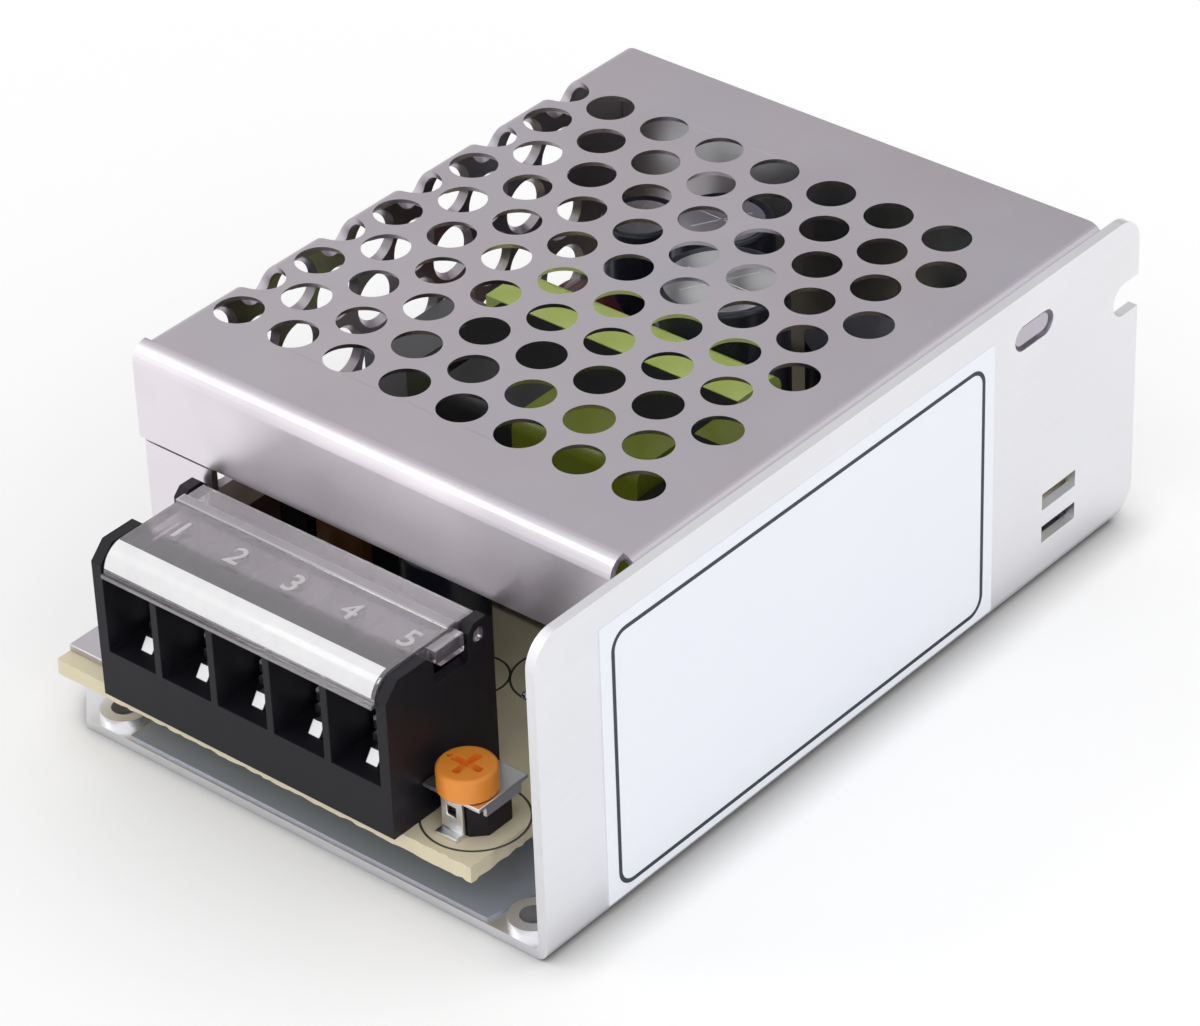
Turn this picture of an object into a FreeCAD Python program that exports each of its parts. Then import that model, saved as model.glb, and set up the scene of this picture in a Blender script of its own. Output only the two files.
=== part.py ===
import FreeCAD, Part
import math
import os

# Mesh case switching power supply: a folded aluminium chassis (bottom, tall right wall, rear wall), a
# folded perforated cover, a printed board on posts and a five way terminal block with a clear hinged cover.
# Millimetres. +X is the labelled side, the terminals face -Y, +Z is up. Places below are given from the
# chassis: X from its middle, Y from its front edge, Z from its underside. The finished part is moved so
# that its origin is the middle of its whole footprint.

# Case
case_width = 58.0
case_depth = 85.0
case_height = 33.0
chassis_sheet = 1.0
chassis_bend = 1.4
cover_sheet = 0.7
cover_bend = 1.8
slip = 0.1
cover_front = 12.7
cover_set_back = 4.1

# Shares that the inner parts take of a wider, deeper or higher case
wide = case_width / 58.0
deep = case_depth / 85.0
high = case_height / 33.0
snug = min(wide, deep)

# Chassis details
front_corner_cut = 3.5
wall_corner_r = 3.0
wall_heel_y = 2.4
wall_heel_z = 2.8
ear_slot_z = 24.7
ear_slot_width = 3.4
ear_slot_depth = 3.9
catch_slot_y = 68.7 * deep
catch_slot_drop = 4.6
catch_slot_length = 5.8
catch_slot_width = 2.6
slit_y = 73.1 * deep
slit_length = 5.2
slit_width = 1.8
slit_low_z = 5.2
slit_spacing = 3.6
boss_x = -23.2 * wide
boss_y = 2.7
boss_span = 48.4 * wide
boss_r = 2.3
boss_height = 0.8
boss_hole_r = 1.25

# Cover details
band_clearance = 0.8
band_left_gap = 0.4
band_right_gap = 1.5
leg_width = 9.2 * wide
leg_bend = 1.7
leg_bottom = 8.4
leg_gap = 0.2
hem_width = 4.4
hem_bend = 1.2
hem_back = 68.0 * deep
hem_screw_inset = 2.7
hem_screw_y = 43.0 * deep
catch_clearance = 0.4
arc_share = 0.99
catch_height = 0.8
hole_d = 4.5
hole_flats = 12
hole_pitch = 6.6
hole_row_pitch = 5.3
hole_front_margin = 10.0
bend_hole_shift = 0.8
hole_last_row_y = 70.6 * deep
hole_right_x = 21.1 * wide
hole_wall_low = 8.0

# Side label and insulating film
label_front = 8.0
label_back = 62.6 * deep
label_low = 1.2
label_drop = 3.0
label_thick = 0.12
film_thick = 0.25
film_left = -20.6 * wide
film_right = 26.8 * wide
film_front = 0.4
film_back_gap = 2.3
film_cut_x = 4.9
film_cut_slope = 1.5
film_cut_y = 6.1
film_clearance = 0.6

# Board, its posts and small screws
board_thick = 1.6
post_height = 3.9
board_step = 0.7
board_step_y = 11.9
board_front = -0.3
board_back_gap = 2.5
board_corner_reach = 4.4
board_wide_y = 22.0
board_right_gap = 1.5
post_af = 5.0
post_left_x = -24.4 * wide
post_right_x = 16.6 * wide
post_front_y = 8.4
post_right_y = 14.2
post_back_y = 73.0 * deep
screw_r = 1.5
screw_slip = 0.05
screw_hole_r = 1.6
small_flats = 8
head_r = 2.5
head_height = 1.9
recess_width = 0.7
recess_length = 3.3
recess_depth = 0.9
screw_reach = 2.8
earth_sheet = 0.7
earth_front = 1.4
earth_back = 11.5

# Terminal block
block_left = -21.2 * wide
ways = 5
way_pitch = 6.66
end_wall = 1.2
partition = 0.8
block_front = -1.3
block_back = 12.4
block_floor = 5.1
bay_mouth = 8.1
block_back_wall = 1.4
ear_top = 22.4
back_ear_top = 22.7
ear_chamfer = 0.8
ear_front_chamfer = 1.6
ear_notch_front = 4.8
ear_notch_back = 9.2
ear_notch_low = 19.2
hinge_y = 10.6
hinge_z = 21.2
hinge_pin_r = 0.7
hinge_slip = 0.05
rib_set_back = 1.1
rib_slope = 1.3
rib_heel = 1.8
back_wall_drop = 0.2
plate_thick = 0.8
plate_width = 4.6
tongue_width = 3.4
tongue_inset = 1.7
plate_shoulder = 0.6
terminal_y = 6.4
clamp_size = 5.2
clamp_thick = 0.9
clamp_rim = 0.35
shank_below = 3.4
well_clearance = 0.6

# Clear terminal cover
lid_thick = 1.0
lid_top = 22.6
lid_left_gap = 0.3
lid_right_gap = 0.1
lid_front_r = 2.4
lid_front_wall = 0.8
lid_back = 11.5
lid_cheek = 0.8
lid_cheek_drop = 2.4
lid_cheek_chamfer = 0.6
lid_lip = 0.4
lid_lip_z = 0.1
lid_ridge = 0.2
lid_ridge_y = 8.7
lid_ridge_width = 1.3
lid_gap = 0.3
tab_length = 3.6
tab_gap = 0.4
tab_drop = 2.0

# Trimmer
trimmer_gap = 3.3
trimmer_y = 5.6
trimmer_body_width = 5.4
trimmer_body_chamfer = 1.2
trimmer_body_height = 3.0
trimmer_plate_width = 6.4
trimmer_plate_z = 10.1
trimmer_sheet = 0.4
trimmer_leg_inset = 2.0
trimmer_leg_width = 2.4
trimmer_leg_window = 1.0
trimmer_window_z = 1.9
trimmer_foot = 0.9
rotor_r = 2.75
rotor_height = 2.3
rotor_right = 0.25
rotor_forward = 1.2
rotor_shaft_r = 0.8
rotor_slot = 1.0
rotor_arrow = 0.8

# Transformer
core_left = -12.4 * wide
core_length = 31.4 * wide
core_y = 39.8 * deep
core_stack = 7.6 * deep
core_low = 7.2
core_height = 21.2 * high
core_slab = 2.9
core_leg = 2.8
bobbin_flange = 0.9
bobbin_tube = 1.0
bobbin_rim = 0.5
bobbin_shelf = 3.0
winding_depth = 19.4 * deep
winding_corner = 2.5
winding_low = 0.7
winding_high = 0.2
pin_width = 0.6
pin_pitch = 6.0

# Round parts standing on the board
bulk_x = 1.8 * wide
bulk_y = 57.9 * deep
bulk_r = 6.3 * snug
bulk_top = 29.0 * high
can_shoulder = 0.5
output_1_x = -7.6 * wide
output_1_y = 69.6 * deep
output_1_r = 5.0 * snug
output_1_top = 26.5 * high
output_2_x = -18.8 * wide
output_2_y = 71.2 * deep
output_2_r = 4.0 * snug
output_2_top = 22.0 * high
filter_x = -0.6 * wide
filter_y = 21.6 * deep
filter_r = 4.0 * snug
filter_top = 18.6
choke_x = 8.4 * wide
choke_y = 70.0 * deep
choke_r = 5.2 * snug
choke_height = 13.0
thermistor_x = -24.9 * wide
thermistor_y = 31.0 * deep
thermistor_r = 4.4 * snug
thermistor_thick = 3.4 * snug
safety_x = -18.6 * wide
safety_y = 61.4 * deep
safety_r = 5.2 * snug
safety_thick = 3.6 * snug
disc_lift = 1.6

# Box shaped parts on the board
film_cap_x = -24.0 * wide
film_cap_y = 46.5 * deep
film_cap_width = 5.2 * wide
film_cap_length = 13.0 * deep
film_cap_height = 12.6
fuse_x = -24.8 * wide
fuse_y = 20.4 * deep
fuse_width = 4.0 * wide
fuse_length = 8.5 * deep
fuse_height = 7.7
lift = 0.4
line_choke_left = -19.4 * wide
line_choke_length = 14.4 * wide
line_choke_front = 20.4 * deep
line_choke_depth = 6.6 * deep
line_choke_high = 20.0
line_choke_bar = 3.2
line_choke_base = 1.5
line_choke_ledge = 0.8
line_choke_leads = 4
line_lead_height = 8.0
bridge_x = -12.2 * wide
bridge_y = 28.2 * deep
bridge_width = 13.5 * wide
bridge_thick = 2.1 * deep
bridge_height = 11.0
bridge_chamfer = 1.2
bridge_lift = 2.1
bridge_leads = 4
bridge_lead_pitch = 3.6 * wide
spreader_thick = 2.8
spreader_front = 25.0 * deep
spreader_back = 66.0 * deep
spreader_gap = 0.2
device_width = 10.0
device_tab = 1.2
device_body = 3.2
device_tab_height = 15.4
device_body_height = 9.2
device_low = 7.8
transistor_y = 33.0 * deep
rectifier_y = 55.0 * deep
device_lead_pitch = 2.5
clip_thick = 0.5
clip_width = 4.0
clip_drop = 9.0
optocoupler_x = -9.4 * wide
optocoupler_y = 56.3 * deep
optocoupler_width = 6.4 * wide
optocoupler_length = 4.6 * deep
chip_x = -17.0 * wide
chip_y = 42.0 * deep
chip_width = 6.4 * wide
chip_length = 10.0 * deep
chip_thick = 3.3
chip_lift = 0.9
chip_lead_pitch = 3.8
lead = 0.6

# Levels and places that follow
side_x = case_width / 2
wall_in = side_x - chassis_sheet
cover_back = case_depth - cover_set_back
catch_slot_z = case_height - catch_slot_drop
label_high = case_height - label_drop
film_back = cover_back - film_back_gap
board_back = cover_back - board_back_gap
board_right = wall_in - board_right_gap
cover_left_in = cover_sheet - side_x
board_left = cover_left_in
cover_top_in = case_height - cover_sheet
cover_right = wall_in - slip
band_low = back_ear_top + band_clearance
hole_rows = int((hole_last_row_y - cover_front - hole_front_margin) / hole_row_pitch) + 1
hem_top = chassis_sheet + cover_sheet
hem_screw_x = hem_screw_inset - side_x
board_z = chassis_sheet + post_height
board_top = board_z + board_thick
post_places = [(post_left_x, post_front_y), (post_right_x, post_right_y),
               (post_left_x, post_back_y), (post_right_x, post_back_y)]
screw_places = [post_places[0], post_places[3]]
block_right = block_left + ways * way_pitch + end_wall
trimmer_x = block_right + trimmer_gap
rotor_x = trimmer_x + rotor_right
rotor_y = trimmer_y - rotor_forward
board_front_right = trimmer_x + board_corner_reach
floor_z = board_top + block_floor
plate_z = floor_z + plate_thick
seat_z = plate_z + clamp_thick
mouth_z = floor_z + bay_mouth
lid_left = block_left + end_wall + lid_left_gap
lid_right = block_right - end_wall - lid_right_gap
spreader_left = wall_in - spreader_thick
spreader_top = band_low - spreader_gap


def box(x0, x1, y0, y1, z0, z1):
    return Part.makeBox(x1 - x0, y1 - y0, z1 - z0, FreeCAD.Vector(x0, y0, z0))


def rod(x, y, z, r, length, axis=(0, 0, 1)):
    return Part.makeCylinder(r, length, FreeCAD.Vector(x, y, z), FreeCAD.Vector(*axis))


def flat_rod(x, y, z, r, length, flats, axis=(0, 0, 1)):
    """Regular prism about a line, its corners at radius r."""
    turn = 2 * math.pi / flats
    corners = [FreeCAD.Vector(r * math.cos(turn * k), r * math.sin(turn * k), 0) for k in range(flats + 1)]
    prism = Part.Face(Part.makePolygon(corners)).extrude(FreeCAD.Vector(0, 0, length))
    rotation = FreeCAD.Rotation(FreeCAD.Vector(0, 0, 1), FreeCAD.Vector(*axis))
    prism.Placement = FreeCAD.Placement(FreeCAD.Vector(x, y, z), rotation)
    return prism


def small_hole(x, y, z, r, length):
    """Hidden hole of few flats that clears a round pin of radius r."""
    return flat_rod(x, y, z, r / math.cos(math.pi / small_flats), length, small_flats)


def outline(points, place):
    """Closed face from corners (u, v, radius); place turns (u, v) into a point in space."""
    count = len(points)
    stops = []
    for i, (u, v, r) in enumerate(points):
        if not r:
            stops.append((u, v, u, v, u, v))
            continue
        pu, pv, _ = points[i - 1]
        nu, nv, _ = points[(i + 1) % count]
        back = math.hypot(pu - u, pv - v)
        ahead = math.hypot(nu - u, nv - v)
        bu, bv = (pu - u) / back, (pv - v) / back
        au, av = (nu - u) / ahead, (nv - v) / ahead
        half = math.acos(max(-1.0, min(1.0, bu * au + bv * av))) / 2
        reach = r / math.tan(half)
        middle = r / math.sin(half) - r
        cu, cv = bu + au, bv + av
        size = math.hypot(cu, cv)
        stops.append((u + bu * reach, v + bv * reach, u + cu / size * middle, v + cv / size * middle,
                      u + au * reach, v + av * reach))
    edges = []
    for i, stop in enumerate(stops):
        if points[i][2]:
            edges.append(Part.Arc(place(stop[0], stop[1]), place(stop[2], stop[3]),
                                  place(stop[4], stop[5])).toShape())
        start = place(stop[4], stop[5])
        end = place(*stops[(i + 1) % count][0:2])
        if start.distanceToPoint(end) > 1e-6:
            edges.append(Part.LineSegment(start, end).toShape())
    return Part.Face(Part.Wire(edges))


def along_x(points, x0, x1):
    """Prism from a (y, z, radius) outline."""
    face = outline(points, lambda u, v: FreeCAD.Vector(x0, u, v))
    return face.extrude(FreeCAD.Vector(x1 - x0, 0, 0))


def along_y(points, y0, y1):
    """Prism from an (x, z, radius) outline."""
    face = outline(points, lambda u, v: FreeCAD.Vector(u, y0, v))
    return face.extrude(FreeCAD.Vector(0, y1 - y0, 0))


def along_z(points, z0, z1):
    """Prism from an (x, y, radius) outline."""
    face = outline(points, lambda u, v: FreeCAD.Vector(u, v, z0))
    return face.extrude(FreeCAD.Vector(0, 0, z1 - z0))


def rectangle(x0, x1, y0, y1, r):
    """Corners of a rectangle, all with one radius."""
    return [(x0, y0, r), (x1, y0, r), (x1, y1, r), (x0, y1, r)]


def chamfered(x0, x1, y0, y1, cut):
    """Corners of a rectangle with its corners cut off."""
    return [(x0 + cut, y0, 0), (x1 - cut, y0, 0), (x1, y0 + cut, 0), (x1, y1 - cut, 0),
            (x1 - cut, y1, 0), (x0 + cut, y1, 0), (x0, y1 - cut, 0), (x0, y0 + cut, 0)]


def join(pieces):
    whole = pieces[0]
    if len(pieces) > 1:
        whole = whole.fuse(pieces[1:])
    return whole.removeSplitter()


def cut_all(shape, tools):
    return shape.cut(Part.makeCompound(tools))


def cross(x, y, z0, z1):
    """Cross recess tool."""
    half = recess_width / 2
    reach = recess_length / 2
    return join([box(x - reach, x + reach, y - half, y + half, z0, z1),
                 box(x - half, x + half, y - reach, y + reach, z0, z1)])


def pan_screw(x, y, seat, shank, recessed):
    """Pan head screw with its head on seat and its shank that far below."""
    head = rod(x, y, seat, head_r, head_height)
    shaft = flat_rod(x, y, seat - shank, screw_r - screw_slip, shank, small_flats)
    screw = join([head, shaft])
    if recessed:
        top = seat + head_height
        screw = screw.cut(cross(x, y, top - recess_depth, top + 1))
    return screw


def catch_prism(clearance, x0, x1):
    """Long hole along Y, smaller by a clearance all round."""
    half_length = catch_slot_length / 2 - clearance
    half_width = catch_slot_width / 2 - clearance
    points = rectangle(catch_slot_y - half_length, catch_slot_y + half_length,
                       catch_slot_z - half_width, catch_slot_z + half_width, half_width * arc_share)
    return along_x(points, x0, x1)


def chassis():
    outer = chassis_bend
    inner = chassis_bend - chassis_sheet
    section = [(-side_x, 0, 0), (side_x, 0, outer), (side_x, case_height, 0), (wall_in, case_height, 0),
               (wall_in, chassis_sheet, inner), (-side_x, chassis_sheet, 0)]
    sheet = along_y(section, 0, case_depth)
    half_slot = ear_slot_width / 2
    slot_end = case_depth - ear_slot_depth
    side = [(0, -1, 0), (case_depth - wall_heel_y, -1, 0), (case_depth - wall_heel_y, 0, 0),
            (case_depth, wall_heel_z, 0), (case_depth, ear_slot_z - half_slot, 0),
            (slot_end, ear_slot_z - half_slot, half_slot * arc_share),
            (slot_end, ear_slot_z + half_slot, half_slot * arc_share),
            (case_depth, ear_slot_z + half_slot, 0), (case_depth, case_height, wall_corner_r),
            (0, case_height, wall_corner_r)]
    sheet = sheet.common(along_x(side, -side_x - 1, side_x + 1))
    rear_out = cover_back - slip
    rear_in = rear_out - chassis_sheet
    rear_foot = rear_in - outer
    rear_left = cover_left_in + slip
    rear_high = cover_top_in - slip
    sheet = sheet.cut(box(-side_x - 1, wall_in - slip, rear_foot, case_depth + 1, -1, chassis_sheet + 1))
    rear = [(rear_foot, 0, 0), (rear_out, 0, outer), (rear_out, rear_high, 0), (rear_in, rear_high, 0),
            (rear_in, chassis_sheet, inner), (rear_foot, chassis_sheet, 0)]
    rear_right = wall_in - slip
    rear_step = cover_right - cover_sheet - slip
    rear_face = [(rear_left, 0, 0), (rear_right, 0, 0), (rear_right, band_low - slip, 0),
                 (rear_step, band_low - slip, 0), (rear_step, rear_high, cover_bend),
                 (rear_left, rear_high, cover_bend)]
    rear_wall = along_x(rear, rear_left, rear_right).common(along_y(rear_face, rear_foot, rear_out))
    boss_places = [boss_x, boss_x + boss_span]
    bosses = [rod(x, boss_y, chassis_sheet, boss_r, boss_height) for x in boss_places]
    sheet = join([sheet, rear_wall] + bosses)
    cuts = [rod(x, boss_y, -1, boss_hole_r, boss_height + 3) for x in boss_places]
    corner = [(-side_x - 1, -1, 0), (front_corner_cut - side_x, -1, 0), (front_corner_cut - side_x, 0, 0),
              (-side_x, front_corner_cut, 0), (-side_x - 1, front_corner_cut, 0)]
    cuts.append(along_z(corner, -1, chassis_sheet + 1))
    cuts.append(catch_prism(0, wall_in - 1, side_x + 1))
    for z in (slit_low_z, slit_low_z + slit_spacing):
        cuts.append(box(wall_in - 1, side_x + 1, slit_y - slit_length / 2, slit_y + slit_length / 2,
                        z - slit_width / 2, z + slit_width / 2))
    cuts.append(countersink(0))
    return cut_all(sheet, cuts)


def countersink(clearance):
    return Part.makeCone(screw_r + chassis_sheet - clearance, screw_r - clearance, chassis_sheet,
                         FreeCAD.Vector(hem_screw_x, hem_screw_y, 0))


def cover_screw():
    """Countersunk screw from below through the bottom plate into the cover's hem."""
    shank = flat_rod(hem_screw_x, hem_screw_y, chassis_sheet, screw_r - screw_slip, cover_sheet + 1,
                     small_flats)
    return join([countersink(screw_slip), shank])


def cover_holes():
    """Staggered rows of punched holes, laid out on the flat sheet and carried round the left bend."""
    r = hole_d / 2 / math.sqrt(math.cos(math.pi / hole_flats))
    bend_start = side_x - cover_bend
    bend_length = (cover_bend - cover_sheet / 2) * math.pi / 2
    bend_z = case_height - cover_bend
    tools = []
    for row in range(hole_rows):
        y = hole_last_row_y - row * hole_row_pitch
        run = -hole_right_x + (0 if row % 2 else hole_pitch / 2)
        while bend_z - (run - bend_start - bend_length) > hole_wall_low:
            if run < bend_start - r / 2:
                tools.append(flat_rod(-run, y, case_height - 2, r, 3, hole_flats))
            elif run < bend_start + bend_length:
                x = bend_hole_shift - bend_start
                tools.append(flat_rod(x, y, bend_z, r, cover_bend * 2, hole_flats, (-1, 0, 1)))
            else:
                z = bend_z - (run - bend_start - bend_length)
                tools.append(flat_rod(cover_left_in + 1, y, z, r, cover_sheet + 2, hole_flats, (-1, 0, 0)))
            run += hole_pitch
    return tools


def cover():
    inner = cover_bend - cover_sheet
    hem_right = hem_width - side_x
    section = [(cover_right, band_low, 0), (cover_right, case_height, cover_bend),
               (-side_x, case_height, cover_bend), (-side_x, chassis_sheet, hem_bend),
               (hem_right, chassis_sheet, 0), (hem_right, hem_top, 0),
               (cover_left_in, hem_top, hem_bend - cover_sheet), (cover_left_in, cover_top_in, inner),
               (cover_right - cover_sheet, cover_top_in, inner), (cover_right - cover_sheet, band_low, 0)]
    fold_y = cover_front + cover_bend
    band_in = cover_front + cover_sheet
    shell = along_y(section, fold_y, cover_back)
    front = [(fold_y, case_height, 0), (cover_front, case_height, cover_bend), (cover_front, band_low, 0),
             (band_in, band_low, 0), (band_in, cover_top_in, inner), (fold_y, cover_top_in, 0)]
    band = along_x(front, band_left_gap - side_x, cover_right - band_right_gap)
    foot = [(-side_x, fold_y, 0), (-side_x, cover_front, leg_bend), (leg_width - side_x, cover_front, 0),
            (leg_width - side_x, band_in, 0), (cover_left_in, band_in, leg_bend - cover_sheet),
            (cover_left_in, fold_y, 0)]
    leg = along_z(foot, leg_bottom, band_low - leg_gap)
    catch = catch_prism(catch_clearance, cover_right - cover_sheet / 2, cover_right + catch_height)
    shell = join([shell, band, leg, catch])
    cuts = cover_holes()
    cuts.append(box(cover_left_in, hem_right + 1, hem_back, cover_back + 1, 0, hem_top + hem_bend))
    cuts.append(small_hole(hem_screw_x, hem_screw_y, 0, screw_r, hem_top + 1))
    return cut_all(shell, cuts)


def side_label():
    return box(side_x, side_x + label_thick, label_front, label_back, label_low, label_high)


def insulating_film():
    low = chassis_sheet
    high = low + film_thick
    cut_x = film_right - film_cut_x
    points = [(film_left, film_front, 0), (cut_x, film_front, 0),
              (cut_x + film_cut_slope, film_front + film_cut_y, 0), (film_right, film_front + film_cut_y, 0),
              (film_right, film_back, 0), (film_left, film_back, 0)]
    gap = post_af / 2 + film_clearance
    cuts = [box(x - gap, x + gap, y - gap, y + gap, 0, high + 1) for x, y in post_places]
    reach = boss_r + film_clearance
    cuts.append(box(boss_x - reach, boss_x + reach, -1, boss_y + reach, 0, high + 1))
    return cut_all(along_z(points, low, high), cuts)


def board_posts():
    posts = []
    for x, y in post_places:
        post = flat_rod(x, y, chassis_sheet, post_af / math.sqrt(3), post_height, 6)
        if (x, y) in screw_places:
            post = post.cut(small_hole(x, y, chassis_sheet, screw_r, post_height + 1))
        posts.append(post)
    return Part.makeCompound(posts)


def circuit_board():
    inner_left = board_left + board_step
    points = [(board_left, board_front, 0), (board_front_right, board_front, 0),
              (board_front_right, board_wide_y, 0), (board_right, board_wide_y, 0),
              (board_right, board_back, 0), (inner_left, board_back, 0),
              (inner_left, board_step_y, 0), (board_left, board_step_y, 0)]
    board = along_z(points, board_z, board_top)
    return cut_all(board, [small_hole(x, y, board_z - 1, screw_hole_r, board_thick + 2)
                           for x, y in screw_places])


def board_screws():
    seats = (board_top + earth_sheet, board_top)
    return Part.makeCompound([pan_screw(x, y, seat, seat - board_z + screw_reach, False)
                              for (x, y), seat in zip(screw_places, seats)])


def earth_tab():
    tab = box(board_left, block_left - slip, earth_front, earth_back, board_top, board_top + earth_sheet)
    x, y = screw_places[0]
    return tab.cut(small_hole(x, y, board_top - 1, screw_hole_r, earth_sheet + 2))


def way_x(i):
    return block_left + end_wall / 2 + way_pitch * (i + 0.5)


def end_wall_outline():
    cut = ear_chamfer
    back = block_back
    return [(block_front, board_top, 0), (block_front, ear_top - ear_front_chamfer, 0),
            (block_front + ear_front_chamfer, ear_top, 0), (ear_notch_front - cut, ear_top, 0),
            (ear_notch_front, ear_top - cut, 0), (ear_notch_front, ear_notch_low, 0),
            (ear_notch_back, ear_notch_low, 0), (ear_notch_back, back_ear_top - cut, 0),
            (ear_notch_back + cut, back_ear_top, 0), (back - cut, back_ear_top, 0),
            (back, back_ear_top - cut, 0), (back, board_top, 0)]


def terminal_block():
    middle_left = block_left + end_wall / 2
    middle_right = block_right - end_wall / 2
    back_in = block_back - block_back_wall
    back_high = mouth_z - back_wall_drop
    pieces = [box(middle_left, middle_right, block_front, block_back, board_top, floor_z),
              box(middle_left, middle_right, back_in, block_back, floor_z, back_high),
              along_x(end_wall_outline(), block_left, block_left + end_wall),
              along_x(end_wall_outline(), block_right - end_wall, block_right)]
    rib_top = lid_top - lid_thick - lid_gap
    rib_front = block_front + rib_set_back
    ribs = [(block_front, floor_z, 0), (block_front, mouth_z, 0), (rib_front, mouth_z, 0),
            (rib_front + rib_slope, rib_top, 0), (hinge_y - rib_heel, rib_top, 0),
            (hinge_y - rib_heel / 2, back_high, 0), (back_in, back_high, 0), (back_in, floor_z, 0)]
    for i in range(1, ways):
        x = way_x(i) - way_pitch / 2
        pieces.append(along_x(ribs, x - partition / 2, x + partition / 2))
    well = screw_r + well_clearance
    well_low = floor_z - shank_below - well_clearance
    cuts = [box(way_x(i) - well, way_x(i) + well, terminal_y - well, terminal_y + well,
                well_low, floor_z + 1) for i in range(ways)]
    cuts.append(rod(block_left - 1, hinge_y, hinge_z, hinge_pin_r + hinge_slip,
                    block_right - block_left + 2, (1, 0, 0)))
    return cut_all(join(pieces), cuts)


def terminal_plates():
    plates = []
    half = plate_width / 2
    tongue = tongue_width / 2
    shoulder_y = terminal_y - clamp_size / 2 - plate_shoulder
    front_y = block_front + tongue_inset
    back_y = block_back - block_back_wall - slip
    for i in range(ways):
        x = way_x(i)
        points = [(x - tongue, front_y, 0), (x + tongue, front_y, 0), (x + tongue, shoulder_y, 0),
                  (x + half, shoulder_y, 0), (x + half, back_y, 0), (x - half, back_y, 0),
                  (x - half, shoulder_y, 0), (x - tongue, shoulder_y, 0)]
        plate = along_z(points, floor_z, plate_z)
        plates.append(plate.cut(small_hole(x, terminal_y, floor_z - 1, screw_r, plate_thick + 2)))
    return Part.makeCompound(plates)


def clamp_washer(i):
    """Square clamp washer whose side rims turn up beside the screw head."""
    x = way_x(i)
    half = clamp_size / 2
    rim_in = head_r + screw_slip
    section = [(x - half, plate_z, 0), (x + half, plate_z, 0), (x + half, seat_z + clamp_rim, 0),
               (x + rim_in, seat_z, 0), (x - rim_in, seat_z, 0), (x - half, seat_z + clamp_rim, 0)]
    washer = along_y(section, terminal_y - half, terminal_y + half)
    return washer.cut(small_hole(x, terminal_y, plate_z - 1, screw_hole_r, clamp_thick + 2))


def terminal_cover():
    low = lid_top - lid_thick
    lip_high = mouth_z + lid_lip_z + lid_lip
    lip_low = mouth_z + lid_lip_z
    face = block_front + lid_front_wall
    ridge_front = lid_ridge_y - lid_ridge_width / 2
    ridge_back = lid_ridge_y + lid_ridge_width / 2
    profile = [(lid_back, low, 0), (lid_back, lid_top, 0), (ridge_back, lid_top, 0),
               (ridge_back - lid_ridge, lid_top + lid_ridge, 0),
               (ridge_front + lid_ridge, lid_top + lid_ridge, 0), (ridge_front, lid_top, 0),
               (block_front, lid_top, lid_front_r), (block_front, lip_high, 0),
               (block_front - lid_lip, lip_high, 0), (block_front - lid_lip, lip_low, 0),
               (face, lip_low, 0), (face, low, lid_front_r - lid_thick)]
    plate = along_x(profile, lid_left, lid_right)
    cut = lid_cheek_chamfer
    cheek_low = lid_top - lid_cheek_drop
    cheek_back = lid_back - slip
    cheek = [(cheek_back, low, 0), (cheek_back, cheek_low + cut, 0), (cheek_back - cut, cheek_low, 0),
             (face - slip, cheek_low, 0), (face - slip, low - cut, 0), (face + cut, low, 0)]
    cheeks = [along_x(cheek, x, x + lid_cheek) for x in (lid_left, lid_right - lid_cheek)]
    tab_back = ear_notch_back - tab_gap
    tab_front = tab_back - tab_length
    tab_low = lid_top - tab_drop
    tab_high = lid_top - lid_ridge
    tab = [(tab_front, tab_high, 0), (tab_front, tab_low + cut, 0), (tab_front + cut, tab_low, 0),
           (tab_back, tab_low, 0), (tab_back, tab_high, 0)]
    tongue = along_x(tab, lid_right - lid_cheek, block_right - slip)
    pin_left = block_left + slip
    pins = [rod(pin_left, hinge_y, hinge_z, hinge_pin_r, lid_left + lid_cheek - pin_left, (1, 0, 0)),
            rod(lid_right - lid_cheek, hinge_y, hinge_z, hinge_pin_r,
                block_right - slip - lid_right + lid_cheek, (1, 0, 0))]
    return join([plate, tongue] + cheeks + pins)


def trimmer_body():
    half = trimmer_body_width / 2
    points = chamfered(trimmer_x - half, trimmer_x + half, trimmer_y - half, trimmer_y + half,
                       trimmer_body_chamfer)
    return along_z(points, board_top, board_top + trimmer_body_height)


def trimmer_frame():
    half = trimmer_plate_width / 2
    front = trimmer_y - half
    back = trimmer_y + half
    left = trimmer_x - half
    right = trimmer_x + half
    top = trimmer_plate_z + trimmer_sheet
    leg_left = left + trimmer_leg_inset
    leg_right = leg_left + trimmer_leg_width
    window = trimmer_leg_window / 2
    middle = (leg_left + leg_right) / 2
    window_low = board_top + trimmer_window_z
    front_leg = box(leg_left, leg_right, front, front + trimmer_sheet, board_top, top)
    front_leg = front_leg.cut(box(middle - window, middle + window, front - 1, front + 1,
                                  window_low, window_low + trimmer_leg_window))
    pieces = [box(left, right, front, back, trimmer_plate_z, top), front_leg,
              box(leg_left, leg_right, front - trimmer_foot, front, board_top, board_top + trimmer_sheet),
              box(leg_left, leg_right, back - trimmer_sheet, back, board_top, top),
              box(right - trimmer_sheet, right, front + trimmer_foot, back - trimmer_foot,
                  trimmer_plate_z - trimmer_foot, top)]
    hole = small_hole(rotor_x, rotor_y, trimmer_plate_z - 1, rotor_shaft_r + slip, trimmer_sheet + 2)
    return join(pieces).cut(hole)


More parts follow.
